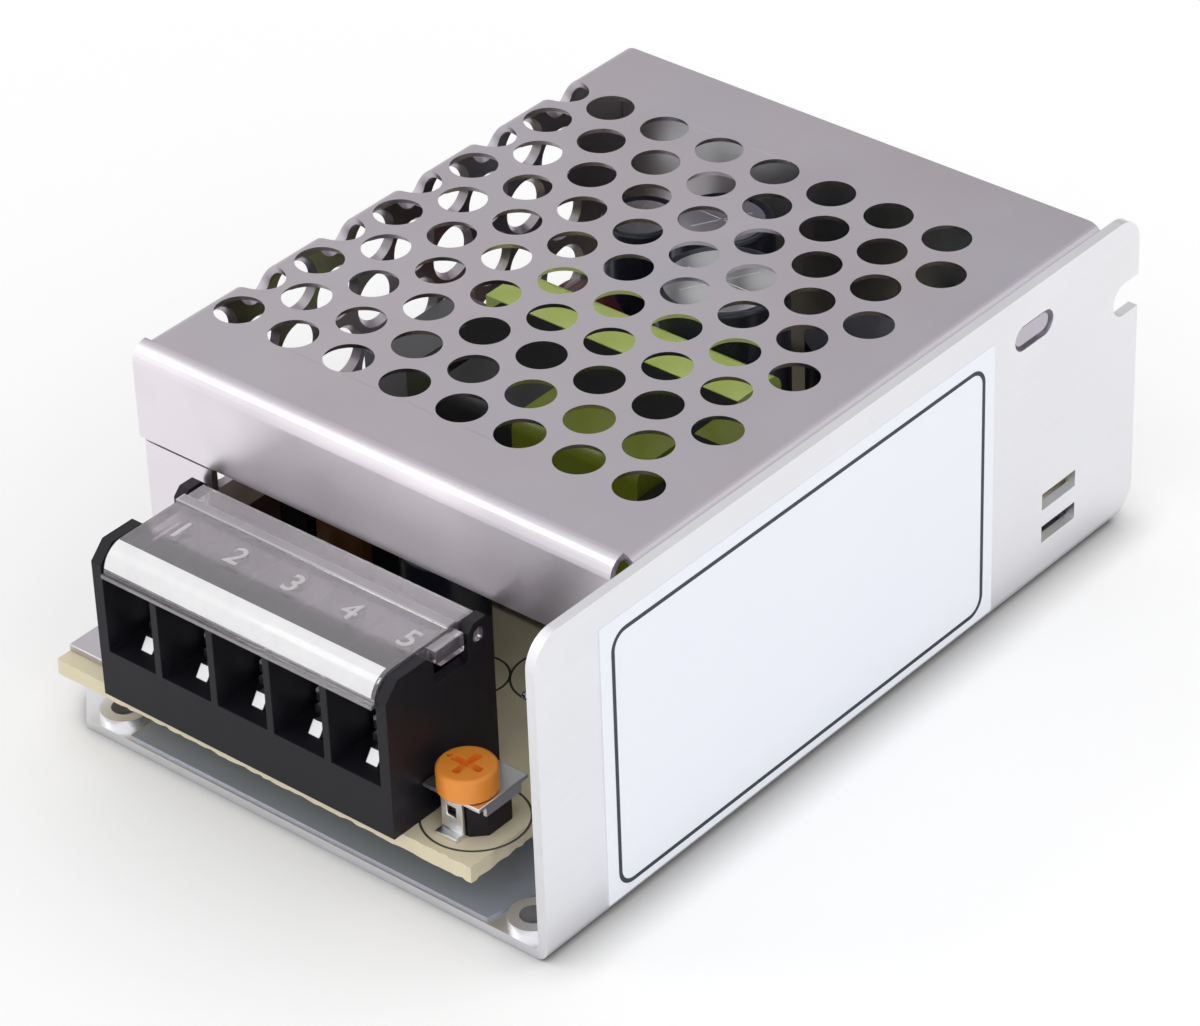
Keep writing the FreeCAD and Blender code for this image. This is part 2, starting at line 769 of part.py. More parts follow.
def trimmer_rotor():
    low = trimmer_plate_z + trimmer_sheet + slip
    top = low + rotor_height
    foot = board_top + trimmer_body_height + slip
    knob = rod(rotor_x, rotor_y, low, rotor_r, rotor_height)
    shaft = flat_rod(rotor_x, rotor_y, foot, rotor_shaft_r, low - foot, small_flats)
    tip = rotor_x - rotor_r + rotor_arrow / 2
    arrow = along_z([(tip, rotor_y, 0), (tip + rotor_arrow, rotor_y - rotor_arrow / 2, 0),
                     (tip + rotor_arrow, rotor_y + rotor_arrow / 2, 0)], top - rotor_slot / 2, top + 1)
    return cut_all(join([knob, shaft]), [cross(rotor_x, rotor_y, top - rotor_slot, top + 1), arrow])


def transformer_core():
    right = core_left + core_length
    high = core_low + core_height
    middle = core_low + core_height / 2
    y0 = core_y - core_stack / 2
    y1 = core_y + core_stack / 2
    return join([box(core_left, core_left + core_slab, y0, y1, core_low, high),
                 box(right - core_slab, right, y0, y1, core_low, high),
                 box(core_left, right, y0, y1, core_low, core_low + core_leg),
                 box(core_left, right, y0, y1, high - core_leg, high),
                 box(core_left, right, y0, y1, middle - core_leg, middle + core_leg)])


def winding_window():
    """Inner X ends, and low and high Z, of the space between the core's legs."""
    return (core_left + core_slab + slip, core_left + core_length - core_slab - slip,
            core_low + core_leg + slip, core_low + core_height - core_leg - slip)


def transformer_bobbin():
    x0, x1, z0, z1 = winding_window()
    half = winding_depth / 2 + bobbin_rim
    hole = core_stack / 2 + slip
    middle = core_low + core_height / 2
    leg = core_leg + slip
    tube = box(x0, x1, core_y - hole - bobbin_tube, core_y + hole + bobbin_tube,
               middle - leg - bobbin_tube, middle + leg + bobbin_tube)
    ends = [box(x, x + bobbin_flange, core_y - half, core_y + half, z0, z1)
            for x in (x0, x1 - bobbin_flange)]
    shelves = [box(x0, x1, y, y + bobbin_shelf, core_low, z0 + winding_low - slip)
               for y in (core_y - half, core_y + half - bobbin_shelf)]
    body = join([tube] + ends + shelves)
    body = body.cut(box(x0 - 1, x1 + 1, core_y - hole, core_y + hole, middle - leg, middle + leg))
    row_in = bobbin_shelf / 2
    pins = [box(x, x + pin_width, y, y + pin_width, board_top, core_low)
            for y in (core_y - half + row_in, core_y + half - row_in - pin_width)
            for x in (x0 + row_in, x0 + row_in + pin_pitch,
                      x1 - row_in - pin_pitch, x1 - row_in - pin_width)]
    return join([body] + pins)


def transformer_winding():
    x0, x1, z0, z1 = winding_window()
    start = x0 + bobbin_flange
    end = x1 - bobbin_flange
    half = winding_depth / 2
    hole = core_stack / 2 + slip + bobbin_tube
    leg = core_leg + slip + bobbin_tube
    middle = core_low + core_height / 2
    body = along_x(rectangle(core_y - half, core_y + half, z0 + winding_low, z1 - winding_high,
                             winding_corner), start, end)
    return body.cut(box(start - 1, end + 1, core_y - hole, core_y + hole, middle - leg, middle + leg))


def can(x, y, r, top):
    return rod(x, y, board_top, r, top - board_top)


def bulk_capacitor():
    """Large upright capacitor with a chamfered shoulder under its aluminium top."""
    shoulder = Part.makeCone(bulk_r, bulk_r - can_shoulder, can_shoulder,
                             FreeCAD.Vector(bulk_x, bulk_y, bulk_top - can_shoulder))
    return join([can(bulk_x, bulk_y, bulk_r, bulk_top - can_shoulder), shoulder])


def on_leads(body, places, top):
    """A body with square leads down to the board."""
    half = lead / 2
    return join([body] + [box(x - half, x + half, y - half, y + half, board_top, top) for x, y in places])


def standing_box(x, y, width, length, height, low):
    return box(x - width / 2, x + width / 2, y - length / 2, y + length / 2, low, low + height)


def film_capacitor():
    body = standing_box(film_cap_x, film_cap_y, film_cap_width, film_cap_length, film_cap_height,
                        board_top + lift)
    reach = film_cap_length / 2 - 2 * lead
    return on_leads(body, [(film_cap_x, film_cap_y - reach), (film_cap_x, film_cap_y + reach)],
                    board_top + 2 * lift)


def fuse():
    body = standing_box(fuse_x, fuse_y, fuse_width, fuse_length, fuse_height, board_top + lift)
    reach = fuse_length / 2 - 2 * lead
    return on_leads(body, [(fuse_x, fuse_y - reach), (fuse_x, fuse_y + reach)], board_top + 2 * lift)


def line_choke_core():
    right = line_choke_left + line_choke_length
    back = line_choke_front + line_choke_depth
    low = board_top + line_choke_base
    bar = line_choke_bar
    return join([box(line_choke_left, right, back - bar, back, low, line_choke_high),
                 box(line_choke_left, line_choke_left + bar, line_choke_front, back, low, line_choke_high),
                 box(right - bar, right, line_choke_front, back, low, line_choke_high)])


def line_choke_bobbin():
    """Base with a row of pale upright leads along its front."""
    right = line_choke_left + line_choke_length
    back = line_choke_front + line_choke_depth
    front = line_choke_front - line_choke_ledge
    low = board_top + line_choke_base
    pitch = (line_choke_length - 2 * line_choke_bar) / (line_choke_leads - 1)
    first = line_choke_left + line_choke_bar - lead / 2
    leads = [box(first + pitch * i, first + pitch * i + lead, front - lead / 2, front + lead / 2,
                 board_top, board_top + line_lead_height) for i in range(line_choke_leads)]
    return join([box(line_choke_left, right, front, back, board_top, low)] + leads)


def line_choke_winding():
    low = board_top + line_choke_base + slip
    x0 = line_choke_left + line_choke_bar + lead
    x1 = line_choke_left + line_choke_length - line_choke_bar - lead
    y1 = line_choke_front + line_choke_depth - line_choke_bar - slip
    return along_z(chamfered(x0, x1, line_choke_front, y1, lead), low, line_choke_high - line_choke_base)


def disc_on_leads(x, y, r, thick, axis):
    """Round disc standing on edge, its two leads straight below it."""
    middle_z = board_top + disc_lift + r
    reach = r / 2
    if axis == "x":
        disc = rod(x - thick / 2, y, middle_z, r, thick, (1, 0, 0))
        places = [(x, y - reach), (x, y + reach)]
    else:
        disc = rod(x, y - thick / 2, middle_z, r, thick, (0, 1, 0))
        places = [(x - reach, y), (x + reach, y)]
    return on_leads(disc, places, middle_z - reach)


def bridge_rectifier():
    low = board_top + bridge_lift
    high = low + bridge_height
    left = bridge_x - bridge_width / 2
    right = bridge_x + bridge_width / 2
    points = [(left, low, 0), (right, low, 0), (right, high, 0), (left + bridge_chamfer, high, 0),
              (left, high - bridge_chamfer, 0)]
    first = bridge_x - bridge_lead_pitch * (bridge_leads - 1) / 2
    return on_leads(along_y(points, bridge_y - bridge_thick / 2, bridge_y + bridge_thick / 2),
                    [(first + bridge_lead_pitch * i, bridge_y) for i in range(bridge_leads)], low + lead)


def power_device(y):
    """Flat plastic power package on its metal tab, held against the spreader bar."""
    back = spreader_left
    front = back - device_tab
    half = device_width / 2
    low = device_low
    pieces = [box(front, back, y - half, y + half, low, low + device_tab_height),
              box(front - device_body, front, y - half, y + half, low, low + device_body_height)]
    row_x = front - device_body / 2
    return on_leads(join(pieces), [(row_x, y + device_lead_pitch * k) for k in (-1, 0, 1)], low + lead)


def heat_spreader():
    return box(spreader_left, wall_in, spreader_front, spreader_back, board_top, spreader_top)


def device_clips():
    """Spring clips, each pressing a package and hooked over the spreader bar."""
    out = spreader_left - device_tab - device_body
    body_top = device_low + device_body_height
    top = max(device_low + device_tab_height, spreader_top)
    hook_x = cover_right - cover_sheet - slip
    points = [(out - clip_thick, spreader_top - clip_drop, 0), (out, spreader_top - clip_drop, 0),
              (out, body_top + clip_thick, 0), (spreader_left - device_tab - slip, top, 0),
              (hook_x, top, 0), (hook_x, top + clip_thick, 0),
              (spreader_left - device_tab - clip_thick, top + clip_thick, 0),
              (out - clip_thick, body_top + 2 * clip_thick, 0)]
    half = clip_width / 2
    return Part.makeCompound([along_y(points, y - half, y + half) for y in (transistor_y, rectifier_y)])


def small_package(x, y, width, length, pitch, rows):
    """Flat plastic package on two rows of leads."""
    low = board_top + chip_lift
    body = standing_box(x, y, width, length, chip_thick, low)
    reach = width / 2 - lead / 2
    places = [(x + side * reach, y + pitch * (k - (rows - 1) / 2)) for side in (-1, 1) for k in range(rows)]
    return on_leads(body, places, low + slip)


def build():
    """Every node's name and shape, in case coordinates."""
    nodes = {
        "chassis": chassis(),
        "cover": cover(),
        "cover_screw": cover_screw(),
        "side_label": side_label(),
        "insulating_film": insulating_film(),
        "board_posts": board_posts(),
        "circuit_board": circuit_board(),
        "board_screws": board_screws(),
        "earth_tab": earth_tab(),
        "terminal_block": terminal_block(),
        "terminal_plates": terminal_plates(),
        "terminal_cover": terminal_cover(),
        "trimmer_body": trimmer_body(),
        "trimmer_frame": trimmer_frame(),
        "trimmer_rotor": trimmer_rotor(),
        "transformer_core": transformer_core(),
        "transformer_bobbin": transformer_bobbin(),
        "transformer_winding": transformer_winding(),
        "bulk_capacitor": bulk_capacitor(),
        "output_capacitor_1": can(output_1_x, output_1_y, output_1_r, output_1_top),
        "output_capacitor_2": can(output_2_x, output_2_y, output_2_r, output_2_top),
        "filter_capacitor": can(filter_x, filter_y, filter_r, filter_top),
        "output_choke": can(choke_x, choke_y, choke_r, board_top + choke_height),
        "film_capacitor": film_capacitor(),
        "fuse": fuse(),
        "thermistor": disc_on_leads(thermistor_x, thermistor_y, thermistor_r, thermistor_thick, "x"),
        "safety_capacitor": disc_on_leads(safety_x, safety_y, safety_r, safety_thick, "y"),
        "line_choke_core": line_choke_core(),
        "line_choke_bobbin": line_choke_bobbin(),
        "line_choke_winding": line_choke_winding(),
        "bridge_rectifier": bridge_rectifier(),
        "switching_transistor": power_device(transistor_y),
        "output_rectifier": power_device(rectifier_y),
        "heat_spreader": heat_spreader(),
        "device_clips": device_clips(),
        "optocoupler": small_package(optocoupler_x, optocoupler_y, optocoupler_width, optocoupler_length,
                                     chip_lead_pitch / 2, 2),
        "control_chip": small_package(chip_x, chip_y, chip_width, chip_length, chip_lead_pitch, 3),
    }
    for i in range(ways):
        nodes["clamp_washer_%d" % (i + 1)] = clamp_washer(i)
        nodes["terminal_screw_%d" % (i + 1)] = pan_screw(way_x(i), terminal_y, seat_z,
                                                         seat_z - floor_z + shank_below, True)
    return nodes


os.makedirs("parts", exist_ok=True)
middle_x = label_thick / 2
middle_y = (case_depth + block_front - lid_lip) / 2
for name, shape in build().items():
    shape.translate(FreeCAD.Vector(-middle_x, -middle_y, 0))
    shape.exportStep("parts/%s.step" % name)
    print(name, shape.isValid(), len(shape.Solids), round(shape.Volume, 2))
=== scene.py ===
import bpy
import bmesh
import math
from mathutils import Matrix, Vector, noise


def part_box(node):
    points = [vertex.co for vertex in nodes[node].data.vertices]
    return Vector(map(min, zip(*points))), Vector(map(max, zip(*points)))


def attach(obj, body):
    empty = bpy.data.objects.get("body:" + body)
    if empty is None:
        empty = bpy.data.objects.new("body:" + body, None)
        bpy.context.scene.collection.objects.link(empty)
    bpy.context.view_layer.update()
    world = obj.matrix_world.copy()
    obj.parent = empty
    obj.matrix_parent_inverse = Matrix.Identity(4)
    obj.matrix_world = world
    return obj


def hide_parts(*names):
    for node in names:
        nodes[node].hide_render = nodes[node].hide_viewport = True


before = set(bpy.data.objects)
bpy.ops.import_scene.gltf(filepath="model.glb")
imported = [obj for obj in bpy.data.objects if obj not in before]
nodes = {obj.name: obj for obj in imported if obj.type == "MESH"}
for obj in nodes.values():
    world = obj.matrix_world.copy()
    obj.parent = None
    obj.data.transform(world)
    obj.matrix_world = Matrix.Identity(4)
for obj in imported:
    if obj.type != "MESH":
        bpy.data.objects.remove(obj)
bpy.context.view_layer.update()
scene = bpy.context.scene
mm = 0.001


# The camera stands in front and to the right, above the case, with a long lens.
# Its place and turn were solved from the case's corners and rows of holes.
lens_share = 4979.6 / 1200
camera_right = Vector((0.76641, 0.64161, -0.03068)).normalized()
camera_back = Vector((0.54357, -0.62237, 0.56319))
camera_back = (camera_back - camera_right * camera_back.dot(camera_right)).normalized()
camera_up = camera_back.cross(camera_right)
camera_place = Vector((246.766, -282.287, 266.866)) * mm
sensor_width = 36
camera_data = bpy.data.cameras.new("camera")
camera_data.sensor_width = sensor_width
camera_data.lens = sensor_width * lens_share
camera_data.clip_start = 0.02
camera_data.clip_end = 10
camera = bpy.data.objects.new("camera", camera_data)
scene.collection.objects.link(camera)
camera_turn = Matrix((camera_right, camera_up, camera_back)).transposed().to_4x4()
camera.matrix_world = Matrix.Translation(camera_place) @ camera_turn
scene.camera = camera


# The surroundings are a white room, a little greyer at its back in reflections.
# A narrow leaning soft box draws the bright lines along the folded edges and the clear cover,
# and two large square ones light the sides.
room_level = 0.86
back_wall_level = 0.50
lit_middle = Vector((0, 0, 0.015))
scene.view_settings.view_transform = "Standard"
room = bpy.data.worlds.new("white_room")
scene.world = room
room.use_nodes = True
room_nodes = room.node_tree.nodes
room_links = room.node_tree.links
sky = room_nodes["Background"]
sky.inputs["Color"].default_value = (1, 1, 1, 1)
ray_kind = room_nodes.new("ShaderNodeLightPath")
seen_direct = room_nodes.new("ShaderNodeMath")
seen_direct.operation = "MAXIMUM"
room_links.new(ray_kind.outputs["Is Camera Ray"], seen_direct.inputs[0])
room_links.new(ray_kind.outputs["Is Glossy Ray"], seen_direct.inputs[1])
seen_white = room_nodes.new("ShaderNodeMath")
seen_white.operation = "MAXIMUM"
room_links.new(seen_direct.outputs[0], seen_white.inputs[0])
room_links.new(ray_kind.outputs["Is Transmission Ray"], seen_white.inputs[1])
sky_level = room_nodes.new("ShaderNodeMapRange")
sky_level.inputs["To Min"].default_value = room_level
sky_level.inputs["To Max"].default_value = 1.0
room_links.new(seen_white.outputs[0], sky_level.inputs["Value"])
sky_place = room_nodes.new("ShaderNodeTexCoord")
sky_side = room_nodes.new("ShaderNodeSeparateXYZ")
room_links.new(sky_place.outputs["Generated"], sky_side.inputs[0])
back_wall = room_nodes.new("ShaderNodeMapRange")
back_wall.interpolation_type = "SMOOTHSTEP"
back_wall.inputs["From Min"].default_value = 0.1
back_wall.inputs["From Max"].default_value = 0.9
back_wall.inputs["To Min"].default_value = 1.0
back_wall.inputs["To Max"].default_value = back_wall_level
room_links.new(sky_side.outputs["Y"], back_wall.inputs["Value"])
back_share = room_nodes.new("ShaderNodeMix")
back_share.inputs["A"].default_value = 1.0
room_links.new(ray_kind.outputs["Is Glossy Ray"], back_share.inputs["Factor"])
room_links.new(back_wall.outputs["Result"], back_share.inputs["B"])
sky_strength = room_nodes.new("ShaderNodeMath")
sky_strength.operation = "MULTIPLY"
room_links.new(sky_level.outputs["Result"], sky_strength.inputs[0])
room_links.new(back_share.outputs["Result"], sky_strength.inputs[1])
room_links.new(sky_strength.outputs[0], sky.inputs["Strength"])

for box_name, place, long_side, size, power in (
        ("leaning_soft_box", (-0.435, -0.380, 0.560), (0, 0.828, 0.561), (0.05, 0.30), 0.30),
        ("right_soft_box", (0.44, 0.50, 0.46), (0, 0, 1), (0.45, 0.45), 0.35),
        ("side_soft_box", (0.64, -0.20, 0.30), (0, 0, 1), (0.52, 0.52), 0.5)):
    lamp_data = bpy.data.lights.new(box_name, "AREA")
    lamp_data.shape = "RECTANGLE"
    lamp_data.size = size[0]
    lamp_data.size_y = size[1]
    lamp_data.energy = power
    lamp = bpy.data.objects.new(box_name, lamp_data)
    outward = (Vector(place) - lit_middle).normalized()
    across = Vector(long_side).cross(outward).normalized()
    lamp_turn = Matrix((across, outward.cross(across), outward)).transposed().to_4x4()
    lamp.matrix_world = Matrix.Translation(Vector(place)) @ lamp_turn
    scene.collection.objects.link(lamp)


# The floor is a plain white sweep that takes the case's soft shadow. Painted shade from ambient occlusion
# also darkens its colour and its glow near the case, darkest where the case touches it.
# It glows a little to the lens, so that it stays white away from the case.
floor_half = 1.5
floor_drop = 0.02 * mm
floor_white = (0.93, 0.93, 0.93, 1)
floor_own_light = 0.13
painted_shade_reach = 5 * mm
floor_mesh = bmesh.new()
bmesh.ops.create_grid(floor_mesh, x_segments=1, y_segments=1, size=floor_half)
floor_data = bpy.data.meshes.new("floor")
floor_mesh.to_mesh(floor_data)
floor_mesh.free()
floor = bpy.data.objects.new("floor", floor_data)
floor.location.z = -floor_drop
scene.collection.objects.link(floor)
floor_paint = bpy.data.materials.new("floor_paint")
floor_paint.use_nodes = True
floor_surface = floor_paint.node_tree.nodes["Principled BSDF"]
floor_surface.inputs["Roughness"].default_value = 0.9
floor_surface.inputs["Specular IOR Level"].default_value = 0
floor_ray = floor_paint.node_tree.nodes.new("ShaderNodeLightPath")
floor_glow = floor_paint.node_tree.nodes.new("ShaderNodeMath")
floor_glow.operation = "MULTIPLY"
floor_glow.inputs[1].default_value = floor_own_light
# Painted shade: ambient occlusion darkens the floor's colour and glow within a few millimetres of the case.
floor_painted_shade = floor_paint.node_tree.nodes.new("ShaderNodeAmbientOcclusion")
floor_painted_shade.inputs["Distance"].default_value = painted_shade_reach
floor_painted_shade.inputs["Color"].default_value = floor_white
floor_paint.node_tree.links.new(floor_painted_shade.outputs["Color"], floor_surface.inputs["Base Color"])
glow_under_painted_shade = floor_paint.node_tree.nodes.new("ShaderNodeMath")
glow_under_painted_shade.operation = "MULTIPLY"
floor_paint.node_tree.links.new(floor_ray.outputs["Is Camera Ray"], glow_under_painted_shade.inputs[0])
floor_paint.node_tree.links.new(floor_painted_shade.outputs["AO"], glow_under_painted_shade.inputs[1])
floor_paint.node_tree.links.new(glow_under_painted_shade.outputs[0], floor_glow.inputs[0])
floor_paint.node_tree.links.new(floor_glow.outputs[0], floor_surface.inputs["Emission Strength"])
floor_surface.inputs["Emission Color"].default_value = (1, 1, 1, 1)
floor_data.materials.append(floor_paint)


# The chassis is one piece of folded aluminium: the bottom plate, the tall right wall and the rear wall.
# It is cut, its cut edges are tumbled, and its screw bosses and slots are stamped before it is folded.
def rolled_sheet():
    """Long fine rolling lines, faint cloudy patches and the roughness that goes with them."""
    group = bpy.data.node_groups.new("rolled_sheet", "ShaderNodeTree")
    sockets = group.interface
    sockets.new_socket("Colour", in_out="INPUT", socket_type="NodeSocketColor")
    sockets.new_socket("Lines", in_out="INPUT", socket_type="NodeSocketVector")
    sockets.new_socket("Depth", in_out="INPUT", socket_type="NodeSocketFloat")
    sockets.new_socket("Roughness", in_out="INPUT", socket_type="NodeSocketFloat")
    sockets.new_socket("Colour", in_out="OUTPUT", socket_type="NodeSocketColor")
    sockets.new_socket("Roughness", in_out="OUTPUT", socket_type="NodeSocketFloat")
    sockets.new_socket("Normal", in_out="OUTPUT", socket_type="NodeSocketVector")
    n = group.nodes
    link = group.links.new
    given = n.new("NodeGroupInput")
    made = n.new("NodeGroupOutput")
    place = n.new("ShaderNodeTexCoord")
    stretch = n.new("ShaderNodeVectorMath")
    stretch.operation = "MULTIPLY"
    link(place.outputs["Object"], stretch.inputs[0])
    link(given.outputs["Lines"], stretch.inputs[1])
    lines = n.new("ShaderNodeTexNoise")
    lines.inputs["Scale"].default_value = 1
    lines.inputs["Detail"].default_value = 3
    link(stretch.outputs[0], lines.inputs["Vector"])
    cloud = n.new("ShaderNodeTexNoise")
    cloud.inputs["Scale"].default_value = 90
    cloud.inputs["Detail"].default_value = 4
    link(place.outputs["Object"], cloud.inputs["Vector"])
    tone = n.new("ShaderNodeMapRange")
    tone.inputs["To Min"].default_value = 0.96
    tone.inputs["To Max"].default_value = 1.03
    link(cloud.outputs["Fac"], tone.inputs["Value"])
    line_tone = n.new("ShaderNodeMapRange")
    line_tone.inputs["To Min"].default_value = 0.985
    line_tone.inputs["To Max"].default_value = 1.015
    link(lines.outputs["Fac"], line_tone.inputs["Value"])
    both = n.new("ShaderNodeMath")
    both.operation = "MULTIPLY"
    link(tone.outputs["Result"], both.inputs[0])
    link(line_tone.outputs["Result"], both.inputs[1])
    shade = n.new("ShaderNodeVectorMath")
    shade.operation = "SCALE"
    link(given.outputs["Colour"], shade.inputs[0])
    link(both.outputs[0], shade.inputs["Scale"])
    link(shade.outputs[0], made.inputs["Colour"])
    dull = n.new("ShaderNodeMapRange")
    dull.inputs["To Min"].default_value = 0.75
    dull.inputs["To Max"].default_value = 1.3
    link(cloud.outputs["Fac"], dull.inputs["Value"])
    rough = n.new("ShaderNodeMath")
    rough.operation = "MULTIPLY"
    link(given.outputs["Roughness"], rough.inputs[0])
    link(dull.outputs["Result"], rough.inputs[1])
    link(rough.outputs[0], made.inputs["Roughness"])
    bump = n.new("ShaderNodeBump")
    bump.inputs["Distance"].default_value = 0.02 * mm
    link(given.outputs["Depth"], bump.inputs["Strength"])
    link(lines.outputs["Fac"], bump.inputs["Height"])
    link(bump.outputs["Normal"], made.inputs["Normal"])
    return group


rolled_sheet_group = rolled_sheet()


def dress(material, group, **values):
    """Places a group of nodes in a material with its own values and feeds the surface from it."""
    material.use_nodes = True
    surface = material.node_tree.nodes["Principled BSDF"]
    effect = material.node_tree.nodes.new("ShaderNodeGroup")
    effect.node_tree = group
    for socket, value in values.items():
        effect.inputs[socket].default_value = value
    material.node_tree.links.new(effect.outputs["Colour"], surface.inputs["Base Color"])
    material.node_tree.links.new(effect.outputs["Roughness"], surface.inputs["Roughness"])
    material.node_tree.links.new(effect.outputs["Normal"], surface.inputs["Normal"])
    return surface


def sheet_metal(name, colour, roughness, lines, depth):
    material = bpy.data.materials.new(name)
    surface = dress(material, rolled_sheet_group, Colour=(*colour, 1), Lines=lines, Depth=depth,
                    Roughness=roughness)
    surface.inputs["Metallic"].default_value = 1
    return material


def punched(piece, tools):
    """Takes the tools' shapes out of a piece."""
    punch = piece.modifiers.new("punch", "BOOLEAN")
    punch.object = tools
    punch.solver = "EXACT"
    punch.use_self = True
    cut = bpy.data.meshes.new_from_object(piece.evaluated_get(bpy.context.evaluated_depsgraph_get()))
    piece.modifiers.clear()
    cut.name = piece.name
    piece.data = cut
    bpy.data.objects.remove(tools)


def edged(piece, material, edge, segments):
    """One finish, smooth rounds and sharp edges broken by a small radius."""
    piece.data.materials.clear()
    piece.data.materials.append(material)
    piece.data.shade_smooth()
    piece.data.set_sharp_from_angle(angle=math.radians(30))
    if edge:
        broken = piece.modifiers.new("broken_edge", "BEVEL")
        broken.width = edge * mm
        broken.segments = segments
        broken.limit_method = "ANGLE"
        broken.angle_limit = math.radians(35)
        flat_faces = piece.modifiers.new("flat_faces", "WEIGHTED_NORMAL")
        flat_faces.keep_sharp = True
        flat_faces.weight = 100


def linked(name, work):
    """A new piece from finished mesh work."""
    data = bpy.data.meshes.new(name)
    work.to_mesh(data)
    work.free()
    piece = bpy.data.objects.new(name, data)
    scene.collection.objects.link(piece)
    return piece


def finished_copy(node, name, body, material, edge, segments=2, tools=None, shaping=None):
    """A copy of a solid as one joined mesh, with its sharp edges broken by a small radius."""
    work = bmesh.new()
    work.from_mesh(nodes[node].data)
    bmesh.ops.remove_doubles(work, verts=work.verts, dist=0.0005 * mm)
    if tools is None:
        bmesh.ops.dissolve_limit(work, angle_limit=math.radians(0.3), verts=work.verts, edges=work.edges)
    if shaping is not None:
        shaping(work)
    piece = linked(name, work)
    if tools is not None:
        punched(piece, tools)
    edged(piece, material, edge, segments)
    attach(piece, body)
    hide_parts(node)
    return piece


chassis_aluminium = sheet_metal("chassis_aluminium", (0.93, 0.93, 0.96), 0.34, (1600, 60, 1600), 0.1)
chassis = finished_copy("chassis", "chassis_sheet", "case", chassis_aluminium, 0.12)


# The cover is a second folded sheet with staggered rows of punched round holes over its top and its left
# wall. The holes are punched flat, before the folding, so one column of them runs round the left bend.
# Its front band is painted lighter in patches, a painted reflection of the bright room in front of it.
hole_r = 2.3
flare = 0.5
hole_pitch = 6.6
hole_row_pitch = 5.3
hole_rows = 10
last_row_y = 28.95
first_hole_x = 21.04
case_top = 33.0
left_x = -29.06
bend_r = 1.8
bend_hole_shift = 0.8
sheet = 0.7
wall_low = 8.0
band_start_y = -27.6
band_y = -28.5
hole_tools = bmesh.new()


def punch_tool(place, axis, depth, hole_flare):
    turn = Vector((0, 0, 1)).rotation_difference(Vector(axis)).to_matrix().to_4x4()
    widening = hole_flare * depth / sheet / 2
    bmesh.ops.create_cone(hole_tools, cap_ends=True, segments=48,
                          radius1=(hole_r + hole_flare / 2 + widening) * mm,
                          radius2=(hole_r + hole_flare / 2 - widening) * mm, depth=depth * mm,
                          matrix=Matrix.Translation(Vector(place) * mm) @ turn)


fold_start = -left_x - bend_r
fold_length = (bend_r - sheet / 2) * math.pi / 2
fold_z = case_top - bend_r
for row in range(hole_rows):
    hole_y = last_row_y - row * hole_row_pitch
    run = -first_hole_x + (0 if row % 2 else hole_pitch / 2)
    while fold_z - (run - fold_start - fold_length) > wall_low:
        if run < fold_start - hole_r / 2:
            punch_tool((-run, hole_y, case_top - sheet / 2), (0, 0, 1), sheet * 2, flare)
        elif run < fold_start + fold_length:
            outward = Vector((-1, 0, 1)).normalized() * (bend_r - sheet / 2)
            punch_tool((bend_hole_shift - fold_start + outward.x, hole_y, fold_z + outward.z), (-1, 0, 1),
                       bend_r * 2 + 1, 0)
        else:
            hole_z = fold_z - (run - fold_start - fold_length)
            punch_tool((left_x + sheet / 2, hole_y, hole_z), (-1, 0, 0), sheet * 2, flare)
        run += hole_pitch
cover_aluminium = sheet_metal("cover_aluminium", (0.60, 0.555, 0.60), 0.33, (1500, 70, 1500), 0.16)
cover_nodes = cover_aluminium.node_tree.nodes
cover_links = cover_aluminium.node_tree.links
cover_place = cover_nodes.new("ShaderNodeTexCoord")
cover_axes = cover_nodes.new("ShaderNodeSeparateXYZ")
cover_links.new(cover_place.outputs["Object"], cover_axes.inputs[0])
# The cover's two tints, mixed in random patches, are a darker grey than the chassis's aluminium; that
# darkness is a painted reflection of the darker room above the top.
cover_patches = cover_nodes.new("ShaderNodeTexNoise")
cover_patches.inputs["Scale"].default_value = 55
cover_patches.inputs["Detail"].default_value = 2
cover_links.new(cover_place.outputs["Object"], cover_patches.inputs["Vector"])
cover_tint = cover_nodes.new("ShaderNodeMix")
cover_tint.data_type = "RGBA"
cover_tint.inputs["A"].default_value = (0.585, 0.565, 0.635, 1)
cover_tint.inputs["B"].default_value = (0.615, 0.545, 0.575, 1)
cover_links.new(cover_patches.outputs["Fac"], cover_tint.inputs["Factor"])
# Painted reflection: the front band's colour is lifted towards near-white in patches.
front_face = cover_nodes.new("ShaderNodeMapRange")
front_face.inputs["From Min"].default_value = band_start_y * mm
front_face.inputs["From Max"].default_value = band_y * mm
cover_links.new(cover_axes.outputs["Y"], front_face.inputs["Value"])
front_reflection_patches = cover_nodes.new("ShaderNodeMapRange")
front_reflection_patches.inputs["From Min"].default_value = 0.35
front_reflection_patches.inputs["From Max"].default_value = 0.62
front_reflection_patches.inputs["To Min"].default_value = 0.45
cover_links.new(cover_patches.outputs["Fac"], front_reflection_patches.inputs["Value"])
front_reflection_share = cover_nodes.new("ShaderNodeMath")
front_reflection_share.operation = "MULTIPLY"
cover_links.new(front_face.outputs["Result"], front_reflection_share.inputs[0])
cover_links.new(front_reflection_patches.outputs["Result"], front_reflection_share.inputs[1])
front_painted_reflection = cover_nodes.new("ShaderNodeMix")
front_painted_reflection.data_type = "RGBA"
front_painted_reflection.inputs["B"].default_value = (0.94, 0.89, 0.94, 1)
cover_links.new(front_reflection_share.outputs[0], front_painted_reflection.inputs["Factor"])
cover_links.new(cover_tint.outputs["Result"], front_painted_reflection.inputs["A"])
cover_links.new(front_painted_reflection.outputs["Result"], cover_nodes["Group"].inputs["Colour"])
cover = finished_copy("cover", "cover_sheet", "case", cover_aluminium, 0.15,
                      tools=linked("punch_tools", hole_tools))
